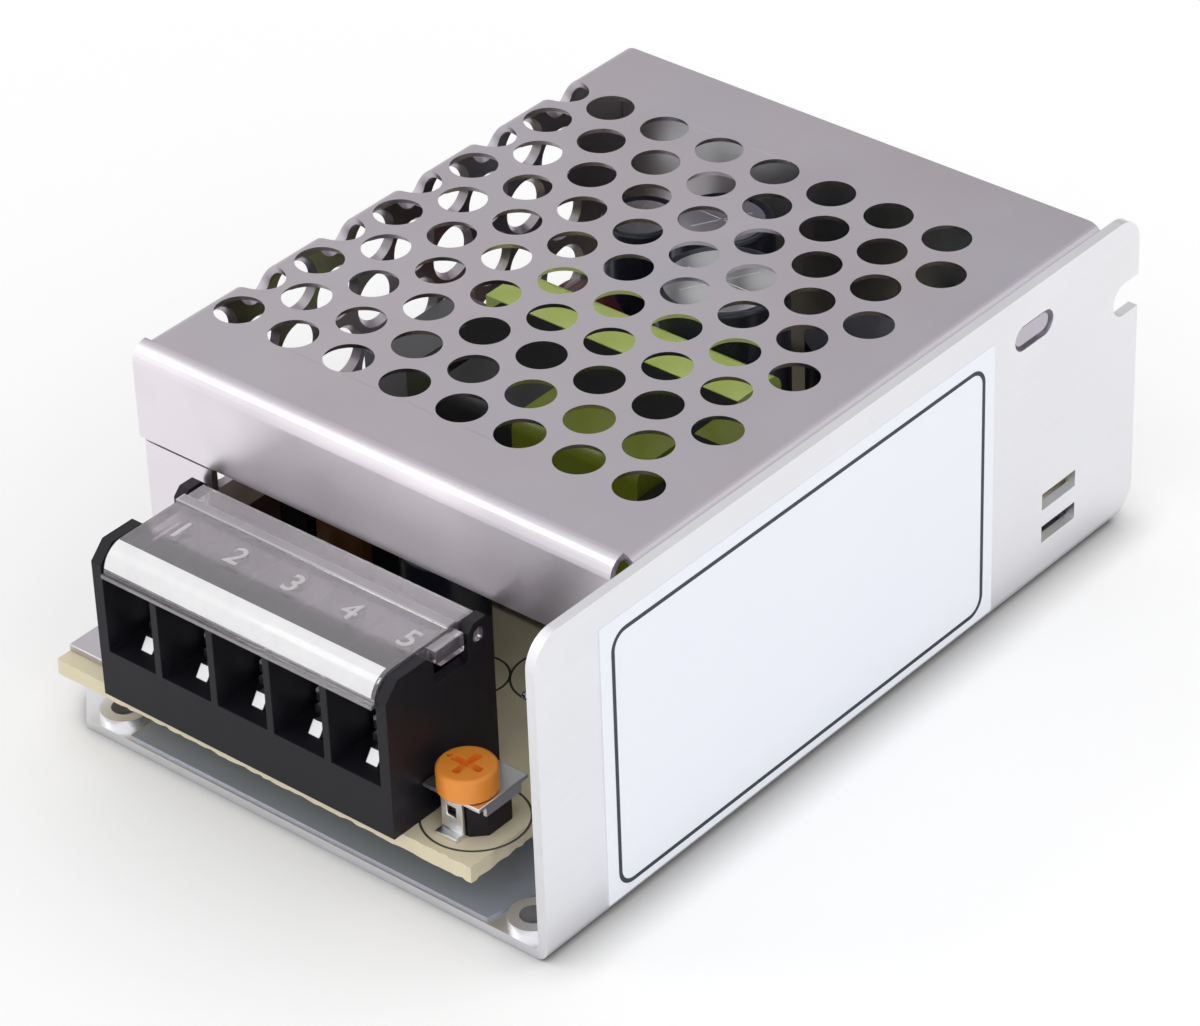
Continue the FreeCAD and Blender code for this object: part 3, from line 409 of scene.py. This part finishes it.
# The broken edges take a near-white finish: bare cut metal, brightened further as a painted highlight along
# the rims.
cut_edge_and_highlight = sheet_metal("cut_edge_and_highlight", (0.97, 0.95, 0.97), 0.30, (900, 900, 900), 0.1)
cover.data.materials.append(cut_edge_and_highlight)
cover.modifiers["broken_edge"].material = 1


# The label is a bare white film stuck to the right wall, with one thin printed line round its border.
# The line is a flat ring of ink with rounded corners.
def moulded_skin():
    """The faint mottle, fine grain and uneven gloss of a plastic, laminate or fired surface."""
    group = bpy.data.node_groups.new("moulded_skin", "ShaderNodeTree")
    sockets = group.interface
    sockets.new_socket("Colour", in_out="INPUT", socket_type="NodeSocketColor")
    sockets.new_socket("Second colour", in_out="INPUT", socket_type="NodeSocketColor")
    sockets.new_socket("Patch", in_out="INPUT", socket_type="NodeSocketFloat")
    sockets.new_socket("Grain", in_out="INPUT", socket_type="NodeSocketFloat")
    sockets.new_socket("Depth", in_out="INPUT", socket_type="NodeSocketFloat")
    sockets.new_socket("Roughness", in_out="INPUT", socket_type="NodeSocketFloat")
    sockets.new_socket("Colour", in_out="OUTPUT", socket_type="NodeSocketColor")
    sockets.new_socket("Roughness", in_out="OUTPUT", socket_type="NodeSocketFloat")
    sockets.new_socket("Normal", in_out="OUTPUT", socket_type="NodeSocketVector")
    n = group.nodes
    link = group.links.new
    given = n.new("NodeGroupInput")
    made = n.new("NodeGroupOutput")
    place = n.new("ShaderNodeTexCoord")
    patch = n.new("ShaderNodeTexNoise")
    patch.inputs["Detail"].default_value = 3
    link(place.outputs["Object"], patch.inputs["Vector"])
    link(given.outputs["Patch"], patch.inputs["Scale"])
    mix = n.new("ShaderNodeMix")
    mix.data_type = "RGBA"
    link(patch.outputs["Fac"], mix.inputs["Factor"])
    link(given.outputs["Colour"], mix.inputs["A"])
    link(given.outputs["Second colour"], mix.inputs["B"])
    link(mix.outputs["Result"], made.inputs["Colour"])
    grain = n.new("ShaderNodeTexNoise")
    grain.inputs["Detail"].default_value = 2
    link(place.outputs["Object"], grain.inputs["Vector"])
    link(given.outputs["Grain"], grain.inputs["Scale"])
    gloss = n.new("ShaderNodeMapRange")
    gloss.inputs["To Min"].default_value = 0.8
    gloss.inputs["To Max"].default_value = 1.25
    link(patch.outputs["Fac"], gloss.inputs["Value"])
    rough = n.new("ShaderNodeMath")
    rough.operation = "MULTIPLY"
    link(given.outputs["Roughness"], rough.inputs[0])
    link(gloss.outputs["Result"], rough.inputs[1])
    link(rough.outputs[0], made.inputs["Roughness"])
    bump = n.new("ShaderNodeBump")
    bump.inputs["Distance"].default_value = 0.03 * mm
    link(given.outputs["Depth"], bump.inputs["Strength"])
    link(grain.outputs["Fac"], bump.inputs["Height"])
    link(bump.outputs["Normal"], made.inputs["Normal"])
    return group


moulded_skin_group = moulded_skin()


def skin(name, colour, second, roughness, patch=400, grain=6000, depth=0.3, coat=0.0):
    material = bpy.data.materials.new(name)
    surface = dress(material, moulded_skin_group, Colour=(*colour, 1), Patch=patch, Grain=grain,
                    Depth=depth, Roughness=roughness, **{"Second colour": (*second, 1)})
    surface.inputs["Coat Weight"].default_value = coat
    return material


def finished(node, material):
    """Gives a solid that stays as it is its own finish."""
    nodes[node].material_slots[0].material = material


border_thick = 0.02 * mm


def thinned(work):
    """Leaves room for the ink inside the label's own thickness."""
    outer = max(v.co.x for v in work.verts)
    for v in work.verts:
        if v.co.x > outer - border_thick:
            v.co.x -= border_thick


label_film = skin("label_film", (0.90, 0.92, 0.985), (0.87, 0.895, 0.97), 0.35, 60, 900, 0.05)
label = finished_copy("side_label", "label_sheet", "case", label_film, 0, shaping=thinned)
border_low = Vector((29.06, -32.25, 2.0)) * mm
border_high = Vector((29.06, 19.55, 28.7)) * mm
border_corner_r = 1.9 * mm
border_width = 0.42 * mm
border_work = bmesh.new()
corners = [(border_low.y, border_low.z), (border_high.y, border_low.z),
           (border_high.y, border_high.z), (border_low.y, border_high.z)]
border_x = border_low.x - border_thick
border_work.faces.new([border_work.verts.new((border_x, y, z)) for y, z in corners])
bmesh.ops.bevel(border_work, geom=list(border_work.verts), offset=border_corner_r, segments=8,
                profile=0.5, affect="VERTICES", material=-1)
bmesh.ops.inset_region(border_work, faces=list(border_work.faces), thickness=border_width,
                       use_boundary=True, use_even_offset=True)
border_work.faces.ensure_lookup_table()
middle_face = max(border_work.faces, key=lambda f: f.calc_area())
bmesh.ops.delete(border_work, geom=[middle_face], context="FACES")
raised = bmesh.ops.extrude_face_region(border_work, geom=list(border_work.faces))
bmesh.ops.translate(border_work, verts=[v for v in raised["geom"] if isinstance(v, bmesh.types.BMVert)],
                    vec=(border_thick, 0, 0))
bmesh.ops.recalc_face_normals(border_work, faces=border_work.faces)
label_border = linked("label_border", border_work)
label_border.data.materials.append(skin("border_ink", (0.02, 0.025, 0.04), (0.03, 0.035, 0.055), 0.5))
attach(label_border, "case")


# The insulating film lies on the bottom plate under the board. It is a glossy grey plastic sheet,
# cut round the screw bosses and the board posts.
finished("insulating_film", skin("insulating_film", (0.29, 0.32, 0.375), (0.33, 0.36, 0.42), 0.16, 80,
                                 500, 0.15, 0.3))


# The circuit board is a cream paper laminate, snapped out of a larger panel, so its front and right edges
# are ragged. Rings are printed round the places of its parts. Posts and small zinc screws hold it.
board_front_y = -41.95
board_corner_x = 20.94
snap_pitch = 0.6
snap_depth = 0.4


def snapped(work):
    """Ragged front and right edges, pushed in by a little at every short step."""
    steps = int((board_corner_x + 29) / snap_pitch)
    for step in range(1, steps):
        bmesh.ops.bisect_plane(work, geom=list(work.verts) + list(work.edges) + list(work.faces),
                               plane_co=Vector((board_corner_x - step * snap_pitch, 0, 0)) * mm,
                               plane_no=(1, 0, 0))
    for step in range(1, int(20 / snap_pitch)):
        near = [f for f in work.faces if f.calc_center_median().x > (board_corner_x - 1) * mm]
        rim = list({e for f in near for e in f.edges}) + list({v for f in near for v in f.verts})
        bmesh.ops.bisect_plane(work, geom=near + rim,
                               plane_co=Vector((0, board_front_y + step * snap_pitch, 0)) * mm,
                               plane_no=(0, 1, 0))
    for v in work.verts:
        x, y, z = v.co / mm
        push = snap_depth * abs(noise.noise(Vector((x * 1.7, y * 1.7, z * 0.6))))
        if y < board_front_y + 0.01:
            v.co.y += push * mm
        if abs(x - board_corner_x) < 0.01:
            v.co.x -= push * mm


laminate = skin("board_laminate", (0.78, 0.69, 0.47), (0.88, 0.80, 0.60), 0.5, 350, 2500, 0.5)
board = finished_copy("circuit_board", "board", "case", laminate, 0, shaping=snapped)
zinc = sheet_metal("zinc_steel", (0.70, 0.70, 0.72), 0.22, (900, 900, 900), 0.25)
finished("board_posts", zinc)
finished("board_screws", zinc)
finished("cover_screw", zinc)
tab = finished_copy("earth_tab", "earth_tab_sheet", "case",
                    sheet_metal("tab_steel", (0.62, 0.59, 0.64), 0.28, (300, 1200, 1200), 0.3), 0.1)
board_ink = skin("board_ink", (0.06, 0.055, 0.05), (0.09, 0.08, 0.07), 0.6)
board_top = 6.5
print_width = 0.22
print_thick = 0.02
solder_r = 0.45
solder_place = (8.66, -20.48)
for mark, (x, y, r) in enumerate(((16.54, -36.25, 4.7), (3.14, -20.75, 2.85), (8.94, -16.85, 3.9))):
    print_work = bmesh.new()
    line = [print_work.verts.new(Vector((x + r + across, y, board_top + up)) * mm)
            for across, up in ((0, 0), (print_width, 0), (print_width, print_thick), (0, print_thick))]
    line_edges = [print_work.edges.new((line[i - 1], line[i])) for i in range(4)]
    bmesh.ops.spin(print_work, geom=line + line_edges, cent=Vector((x, y, 0)) * mm, axis=(0, 0, 1),
                   angle=math.tau, steps=64, use_merge=True)
    bmesh.ops.remove_doubles(print_work, verts=print_work.verts, dist=0.001 * mm)
    bmesh.ops.recalc_face_normals(print_work, faces=print_work.faces)
    board_print = linked("board_print_%d" % (mark + 1), print_work)
    board_print.data.materials.append(board_ink)
    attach(board_print, "case")
solder_work = bmesh.new()
bmesh.ops.create_uvsphere(solder_work, u_segments=20, v_segments=12, radius=solder_r * mm,
                          matrix=Matrix.Translation(Vector((*solder_place, board_top)) * mm))
bmesh.ops.bisect_plane(solder_work, geom=list(solder_work.verts) + list(solder_work.edges)
                       + list(solder_work.faces), plane_co=Vector((0, 0, board_top)) * mm,
                       plane_no=(0, 0, 1), clear_inner=True)
bmesh.ops.holes_fill(solder_work, edges=[e for e in solder_work.edges if e.is_boundary])
solder = linked("board_solder", solder_work)
edged(solder, zinc, 0, 1)
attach(solder, "case")


# The terminal block is moulded in black plastic, with a wall at each end, ribs between its five ways and
# a plated tongue in each. A square clamp washer and a pan head screw sit on each tongue.
block_black = skin("block_black", (0.009, 0.008, 0.012), (0.013, 0.012, 0.017), 0.42, 500, 5000, 0.3)
block_black.node_tree.nodes["Principled BSDF"].inputs["Specular IOR Level"].default_value = 0.25
block = finished_copy("terminal_block", "terminal_block_moulding", "case", block_black, 0.14)
bright_plate = sheet_metal("plated_tongue", (0.86, 0.86, 0.87), 0.30, (700, 700, 700), 0.2)
first_way_x = -17.33
way_pitch = 6.66
screw_y = -35.25
plate_width = 4.6
plate_low = 11.6
plate_thick = 0.8
plate_front_y = -38.45
plate_back_y = -30.75
nose_width = 1.7
nose_length = 1.55
nose_tip = 1.2
nose_rise = 0.45
nose_lean = 0.85
nose_taper = 0.8
shank_hole_r = 1.6
plate_work = bmesh.new()
shank_tools = bmesh.new()
for way in range(5):
    way_x = first_way_x + way * way_pitch
    middle = Vector((way_x, (plate_front_y + plate_back_y) / 2, plate_low + plate_thick / 2)) * mm
    scale = Matrix.Diagonal((plate_width * mm, (plate_back_y - plate_front_y) * mm, plate_thick * mm, 1))
    made = bmesh.ops.create_cube(plate_work, size=1, matrix=Matrix.Translation(middle) @ scale)
    front = [f for f in {f for v in made["verts"] for f in v.link_faces} if f.normal.y < -0.9]
    for width, forward in ((nose_width / plate_width, 0), (1, nose_length), (nose_taper, nose_tip)):
        front = bmesh.ops.extrude_discrete_faces(plate_work, faces=front)["faces"]
        verts = list(front[0].verts)
        bmesh.ops.scale(plate_work, vec=(width, 1, 1), verts=verts,
                        space=Matrix.Translation((-way_x * mm, 0, 0)))
        bmesh.ops.translate(plate_work, vec=(0, -forward * mm, 0), verts=verts)
    upper = [v for v in front[0].verts if v.co.z > middle.z]
    bmesh.ops.translate(plate_work, vec=(0, nose_lean * mm, nose_rise * mm), verts=upper)
    bmesh.ops.create_cone(shank_tools, cap_ends=True, segments=32, radius1=shank_hole_r * mm,
                          radius2=shank_hole_r * mm, depth=3 * plate_thick * mm,
                          matrix=Matrix.Translation(Vector((way_x * mm, screw_y * mm, middle.z))))
bmesh.ops.recalc_face_normals(plate_work, faces=plate_work.faces)
plates = linked("terminal_plates", plate_work)
punched(plates, linked("shank_tools", shank_tools))
edged(plates, bright_plate, 0.1, 2)
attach(plates, "case")
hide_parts("terminal_plates")
for way in range(1, 6):
    washer = finished_copy("clamp_washer_%d" % way, "clamp_%d_washer" % way, "clamp_%d" % way,
                           bright_plate, 0.12)
    screw = finished_copy("terminal_screw_%d" % way, "clamp_%d_screw" % way, "screw_%d" % way,
                          bright_plate, 0.08)


# The clear cover over the terminals is moulded in polycarbonate. It swings on two small pins at its back.
# A frosted rib and plain digits, one for each way, stand a little proud of it; their pale frost is partly a
# painted highlight.
# A thin near-white shell over its rounded front bend is a painted highlight.
clear_plastic = bpy.data.materials.new("clear_plastic")
clear_surface = dress(clear_plastic, moulded_skin_group, Colour=(0.68, 0.63, 0.68, 1), Patch=150,
                      Grain=300, Depth=0.25, Roughness=0.07, **{"Second colour": (0.52, 0.485, 0.525, 1)})
clear_surface.inputs["Transmission Weight"].default_value = 0.86
clear_surface.inputs["IOR"].default_value = 1.59
clear_surface.inputs["Coat Weight"].default_value = 1
clear_surface.inputs["Coat Roughness"].default_value = 0.1
# The rib's and digits' pale frost is partly their own finish and partly a painted highlight.
frost_and_painted_highlight = skin("frosted_plastic_and_highlight", (0.93, 0.91, 0.92), (0.80, 0.78, 0.80), 0.3, 900, 3000, 0.5)
frost_and_painted_highlight.node_tree.nodes["Principled BSDF"].inputs["Transmission Weight"].default_value = 0.35
lid = finished_copy("terminal_cover", "clear_cover", "lid", clear_plastic, 0.2, 3)
rib_middle = Vector((-4.01, -32.95, 22.7)) * mm
rib_size = Vector((31.8, 1.1, 0.19)) * mm
rib_round = 0.09 * mm
rib_work = bmesh.new()
bmesh.ops.create_cube(rib_work, size=1, matrix=Matrix.Translation(rib_middle)
                      @ Matrix.Diagonal((*rib_size, 1)))
bmesh.ops.bevel(rib_work, geom=[e for e in rib_work.edges if min(v.co.z for v in e.verts) > rib_middle.z],
                offset=rib_round, segments=2, profile=0.5, affect="EDGES", material=-1)
rib = linked("cover_rib", rib_work)
edged(rib, frost_and_painted_highlight, 0, 1)
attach(rib, "lid")
# A thin near-white shell over the lid's rounded front bend: a painted highlight of the lamp's reflection.
bend_middle = Vector((0, -40.55, 20.2))
bend_outer_r = 2.43
bend_thick = 0.05
bend_ends = (-19.6, 11.6)
bend_work = bmesh.new()
bend_line = [bend_work.verts.new(Vector((x, bend_middle.y, bend_middle.z + bend_outer_r)) * mm)
             for x in bend_ends]
bend_edge = bend_work.edges.new(bend_line)
bmesh.ops.rotate(bend_work, verts=bend_line, cent=bend_middle * mm,
                 matrix=Matrix.Rotation(math.radians(8), 3, "X"))
bmesh.ops.spin(bend_work, geom=bend_line + [bend_edge], cent=bend_middle * mm, axis=(1, 0, 0),
               angle=math.radians(70), steps=14)
bmesh.ops.solidify(bend_work, geom=list(bend_work.faces), thickness=bend_thick * mm)
bmesh.ops.recalc_face_normals(bend_work, faces=bend_work.faces)
bend_highlight_shell = linked("cover_bend_painted_highlight", bend_work)
bend_painted_highlight = skin("bend_painted_highlight", (0.97, 0.96, 0.97), (0.80, 0.79, 0.81), 0.25, 500, 3000, 0.4, 0.3)
edged(bend_highlight_shell, bend_painted_highlight, 0, 1)
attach(bend_highlight_shell, "lid")
digit_shift = 1.0
digit_y = -36.6
digit_z = 22.55
digit_size = 3.4
digit_height = 0.12
for way in range(1, 6):
    digit_text = bpy.data.curves.new("digit_text", "FONT")
    digit_text.body = str(way)
    digit_text.size = digit_size * mm
    digit_text.extrude = digit_height / 2 * mm
    digit_text.bevel_depth = 0.05 * mm
    digit_text.bevel_resolution = 1
    digit_text.align_x = "CENTER"
    digit_text.align_y = "CENTER"
    shaper = bpy.data.objects.new("digit_shaper", digit_text)
    scene.collection.objects.link(shaper)
    digit_data = bpy.data.meshes.new_from_object(
        shaper.evaluated_get(bpy.context.evaluated_depsgraph_get()))
    digit_data.name = "cover_digit_%d" % way
    digit_data.transform(Matrix.Translation(
        Vector((first_way_x + digit_shift + (way - 1) * way_pitch, digit_y, digit_z)) * mm))
    bpy.data.objects.remove(shaper)
    digit = bpy.data.objects.new("cover_digit_%d" % way, digit_data)
    scene.collection.objects.link(digit)
    digit_data.materials.clear()
    digit_data.materials.append(frost_and_painted_highlight)
    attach(digit, "lid")


# The trimmer has a black body in a small pressed steel frame, and an orange rotor that a screwdriver turns.
body_piece = finished_copy("trimmer_body", "trimmer_base", "case", block_black, 0.1)
frame_piece = finished_copy("trimmer_frame", "trimmer_steel", "case", bright_plate, 0.08)
orange = skin("rotor_orange", (0.98, 0.36, 0.045), (0.90, 0.28, 0.03), 0.36, 500, 3000, 0.4, 0.15)
rotor_place = Vector((16.79, -37.25, 0))
rotor_low = 10.6
rotor_top = 12.9
rotor_r = 2.74
rotor_round = 0.4
pivot_r = 0.8
pivot_z = 10.15
pivot_length = 1.1
cross_cuts = ((3.3, 0.8, 1.5), (0.8, 3.3, 1.5))
arrow_r = 0.42
arrow_depth = 0.7
arrow_out = 2.0
rotor_middle = rotor_place + Vector((0, 0, (rotor_low + rotor_top) / 2))
rotor_work = bmesh.new()
bmesh.ops.create_cone(rotor_work, cap_ends=True, segments=72, radius1=rotor_r * mm, radius2=rotor_r * mm,
                      depth=(rotor_top - rotor_low) * mm, matrix=Matrix.Translation(rotor_middle * mm))
rotor_rim = [e for e in rotor_work.edges if min(v.co.z for v in e.verts) > (rotor_top - 0.01) * mm]
bmesh.ops.bevel(rotor_work, geom=rotor_rim, offset=rotor_round * mm, segments=4, profile=0.5,
                affect="EDGES", material=-1)
bmesh.ops.create_cone(rotor_work, cap_ends=True, segments=24, radius1=pivot_r * mm, radius2=pivot_r * mm,
                      depth=pivot_length * mm,
                      matrix=Matrix.Translation((rotor_place + Vector((0, 0, pivot_z))) * mm))
rotor_tools = bmesh.new()
for size in cross_cuts:
    cut = bmesh.ops.create_cube(rotor_tools, size=1, matrix=Matrix.Translation(
        (rotor_place + Vector((0, 0, rotor_top))) * mm) @ Matrix.Diagonal((*(Vector(size) * mm), 1)))
    bmesh.ops.bevel(rotor_tools, geom=[e for e in {e for v in cut["verts"] for e in v.link_edges}
                                       if abs(e.verts[0].co.z - e.verts[1].co.z) > 0.5 * mm],
                    offset=0.2 * mm, segments=3, profile=0.5, affect="EDGES", material=-1)
bmesh.ops.create_cone(rotor_tools, cap_ends=True, segments=3, radius1=arrow_r * mm, radius2=arrow_r * mm,
                      depth=arrow_depth * mm, matrix=Matrix.Translation(
                          (rotor_place + Vector((-arrow_out, 0, rotor_top))) * mm)
                      @ Matrix.Rotation(math.radians(90), 4, "Z"))
rotor = linked("trimmer_knob", rotor_work)
punched(rotor, linked("rotor_tools", rotor_tools))
edged(rotor, orange, 0.08, 2)
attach(rotor, "rotor")
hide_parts("trimmer_rotor")


# The transformer has a black ferrite core round a moulded bobbin. Its winding bulges out in front of the
# core and behind it, wrapped in yellow green tape, and tape binds the core's right end. The one tape is
# painted
# in two tones: paler behind as painted light, a darker olive in front and on the core's end as painted
# shade.
ferrite = skin("ferrite", (0.010, 0.010, 0.011), (0.018, 0.018, 0.02), 0.6, 700, 4000, 0.6)
ferrite.node_tree.nodes["Principled BSDF"].inputs["Specular IOR Level"].default_value = 0.12
bobbin_black = skin("bobbin_black", (0.02, 0.02, 0.022), (0.03, 0.03, 0.03), 0.4)
# One tape in two painted tones: the olive is painted shade, the pale copy painted light.
tape = skin("tape_painted_shade", (0.17, 0.21, 0.008), (0.21, 0.26, 0.012), 0.4, 120, 700, 0.15, 0.1)
tape_painted_light = skin("tape_painted_light", (0.62, 0.78, 0.16), (0.74, 0.88, 0.26), 0.3, 150, 900, 0.5, 0.3)
core = finished_copy("transformer_core", "ferrite_core", "case", ferrite, 0.2)
winding = finished_copy("transformer_winding", "taped_winding", "case", tape, 0.3)
finished("transformer_bobbin", bobbin_black)
wrap_round = 2.4
for piece_name, finish, low, high in (
        ("outer_tape_turn", tape_painted_light, (-14.4, 2.05, 10.9), (14.95, 8.2, 28.3)),
        ("front_tape_turn", tape, (0.65, -11.9, 10.9), (14.95, -5.75, 28.3)),
        ("core_end_tape", tape, (15.3, -5.75, 7.4), (19.04, 2.05, 28.5)),
        ("bobbin_front_cheek", bobbin_black, (-8.5, -11.8, 12.0), (0.6, -5.75, 28.2))):
    low = Vector(low)
    high = Vector(high)
    wrap_work = bmesh.new()
    bmesh.ops.create_cube(wrap_work, size=1, matrix=Matrix.Translation((low + high) / 2 * mm)
                          @ Matrix.Diagonal((*((high - low) * mm), 1)))
    far_side = (low.y + high.y > 0)
    bmesh.ops.bevel(wrap_work, geom=[e for e in wrap_work.edges
                                     if abs(e.verts[0].co.x - e.verts[1].co.x) > mm
                                     and (e.verts[0].co.y > (low.y + high.y) / 2 * mm) == far_side],
                    offset=min(wrap_round, (high.y - low.y) / 4) * mm, segments=6, profile=0.5,
                    affect="EDGES", material=-1)
    wrap = linked(piece_name, wrap_work)
    edged(wrap, finish, 0, 1)
    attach(wrap, "case")


# Round capacitors stand on the board in shrunk sleeves, with a bare aluminium top inside the sleeve's rim.
# The choke is a small drum of enamelled wire.
sleeve = skin("capacitor_sleeve", (0.02, 0.022, 0.04), (0.03, 0.032, 0.055), 0.28, 200, 1500, 0.3, 0.3)
bare_top = sheet_metal("can_aluminium", (0.80, 0.80, 0.82), 0.3, (600, 600, 600), 0.15)
sleeve_rim = 0.9
top_drop = 0.3
top_thick = 0.1
score_width = 0.25
score_depth = 0.1
for can, round_edge in (("bulk_capacitor", 0.5), ("output_capacitor_1", 0.4), ("output_capacitor_2", 0.4),
                        ("filter_capacitor", 0.4)):
    can_low, can_high = (Vector(corner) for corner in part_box(can))
    can_middle = (can_low + can_high) / 2
    can_r = (can_high.x - can_low.x) / 2
    can_work = bmesh.new()
    bmesh.ops.create_cone(can_work, cap_ends=True, segments=72, radius1=can_r, radius2=can_r,
                          depth=can_high.z - can_low.z, matrix=Matrix.Translation(can_middle))
    upper = [f for f in can_work.faces if f.normal.z > 0.9]
    bmesh.ops.inset_region(can_work, faces=upper, thickness=sleeve_rim * mm, use_boundary=True,
                           use_even_offset=True)
    bmesh.ops.translate(can_work, vec=(0, 0, -top_drop * mm), verts=upper[0].verts)
    outer_rim = [e for e in can_work.edges if all(v.co.z > can_high.z - 0.01 * mm for v in e.verts)
                 and all((v.co.xy - can_middle.xy).length > can_r - 0.01 * mm for v in e.verts)]
    bmesh.ops.bevel(can_work, geom=outer_rim, offset=round_edge * mm, segments=4, profile=0.5,
                    affect="EDGES", material=-1)
    can_piece = linked(can + "_sleeve", can_work)
    edged(can_piece, sleeve, 0, 1)
    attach(can_piece, "case")
    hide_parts(can)
    vent_work = bmesh.new()
    vent_r = can_r - sleeve_rim * mm
    vent_z = can_high.z - top_drop * mm
    bmesh.ops.create_cone(vent_work, cap_ends=True, segments=72, radius1=vent_r, radius2=vent_r,
                          depth=top_thick * mm,
                          matrix=Matrix.Translation((can_middle.x, can_middle.y,
                                                     vent_z + top_thick / 2 * mm)))
    score_tools = bmesh.new()
    for turn in (0, 60, 120):
        bmesh.ops.create_cube(score_tools, size=1, matrix=Matrix.Translation(
            (can_middle.x, can_middle.y, vent_z + top_thick * mm))
            @ Matrix.Rotation(math.radians(turn), 4, "Z")
            @ Matrix.Diagonal((vent_r * 1.5, score_width * mm, score_depth * mm, 1)))
    vent = linked(can + "_top", vent_work)
    punched(vent, linked("score_tools", score_tools))
    edged(vent, bare_top, 0, 1)
    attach(vent, "case")
wire = skin("enamelled_wire", (0.16, 0.06, 0.02), (0.22, 0.085, 0.03), 0.3, 900, 1200, 0.8, 0.3)
finished("output_choke", sleeve)
finished("line_choke_winding", wire)
finished("line_choke_core", ferrite)
finished("line_choke_bobbin", bobbin_black)


# The other parts on the board are moulded boxes, dipped ceramic discs and small black packages.
# A bare aluminium bar on the bottom plate takes the heat of the two power devices.
finished("film_capacitor", skin("box_grey", (0.13, 0.13, 0.14), (0.16, 0.16, 0.17), 0.45))
finished("fuse", skin("fuse_brown", (0.08, 0.035, 0.02), (0.11, 0.05, 0.03), 0.4))
finished("thermistor", skin("thermistor_black", (0.02, 0.03, 0.025), (0.03, 0.04, 0.035), 0.45))
finished("safety_capacitor", skin("dipped_red", (0.07, 0.010, 0.012), (0.10, 0.014, 0.016), 0.3, coat=0.3))
for package in ("bridge_rectifier", "switching_transistor", "output_rectifier", "optocoupler",
                "control_chip"):
    finished(package, block_black)
finished("heat_spreader", chassis_aluminium)
finished("device_clips", zinc)
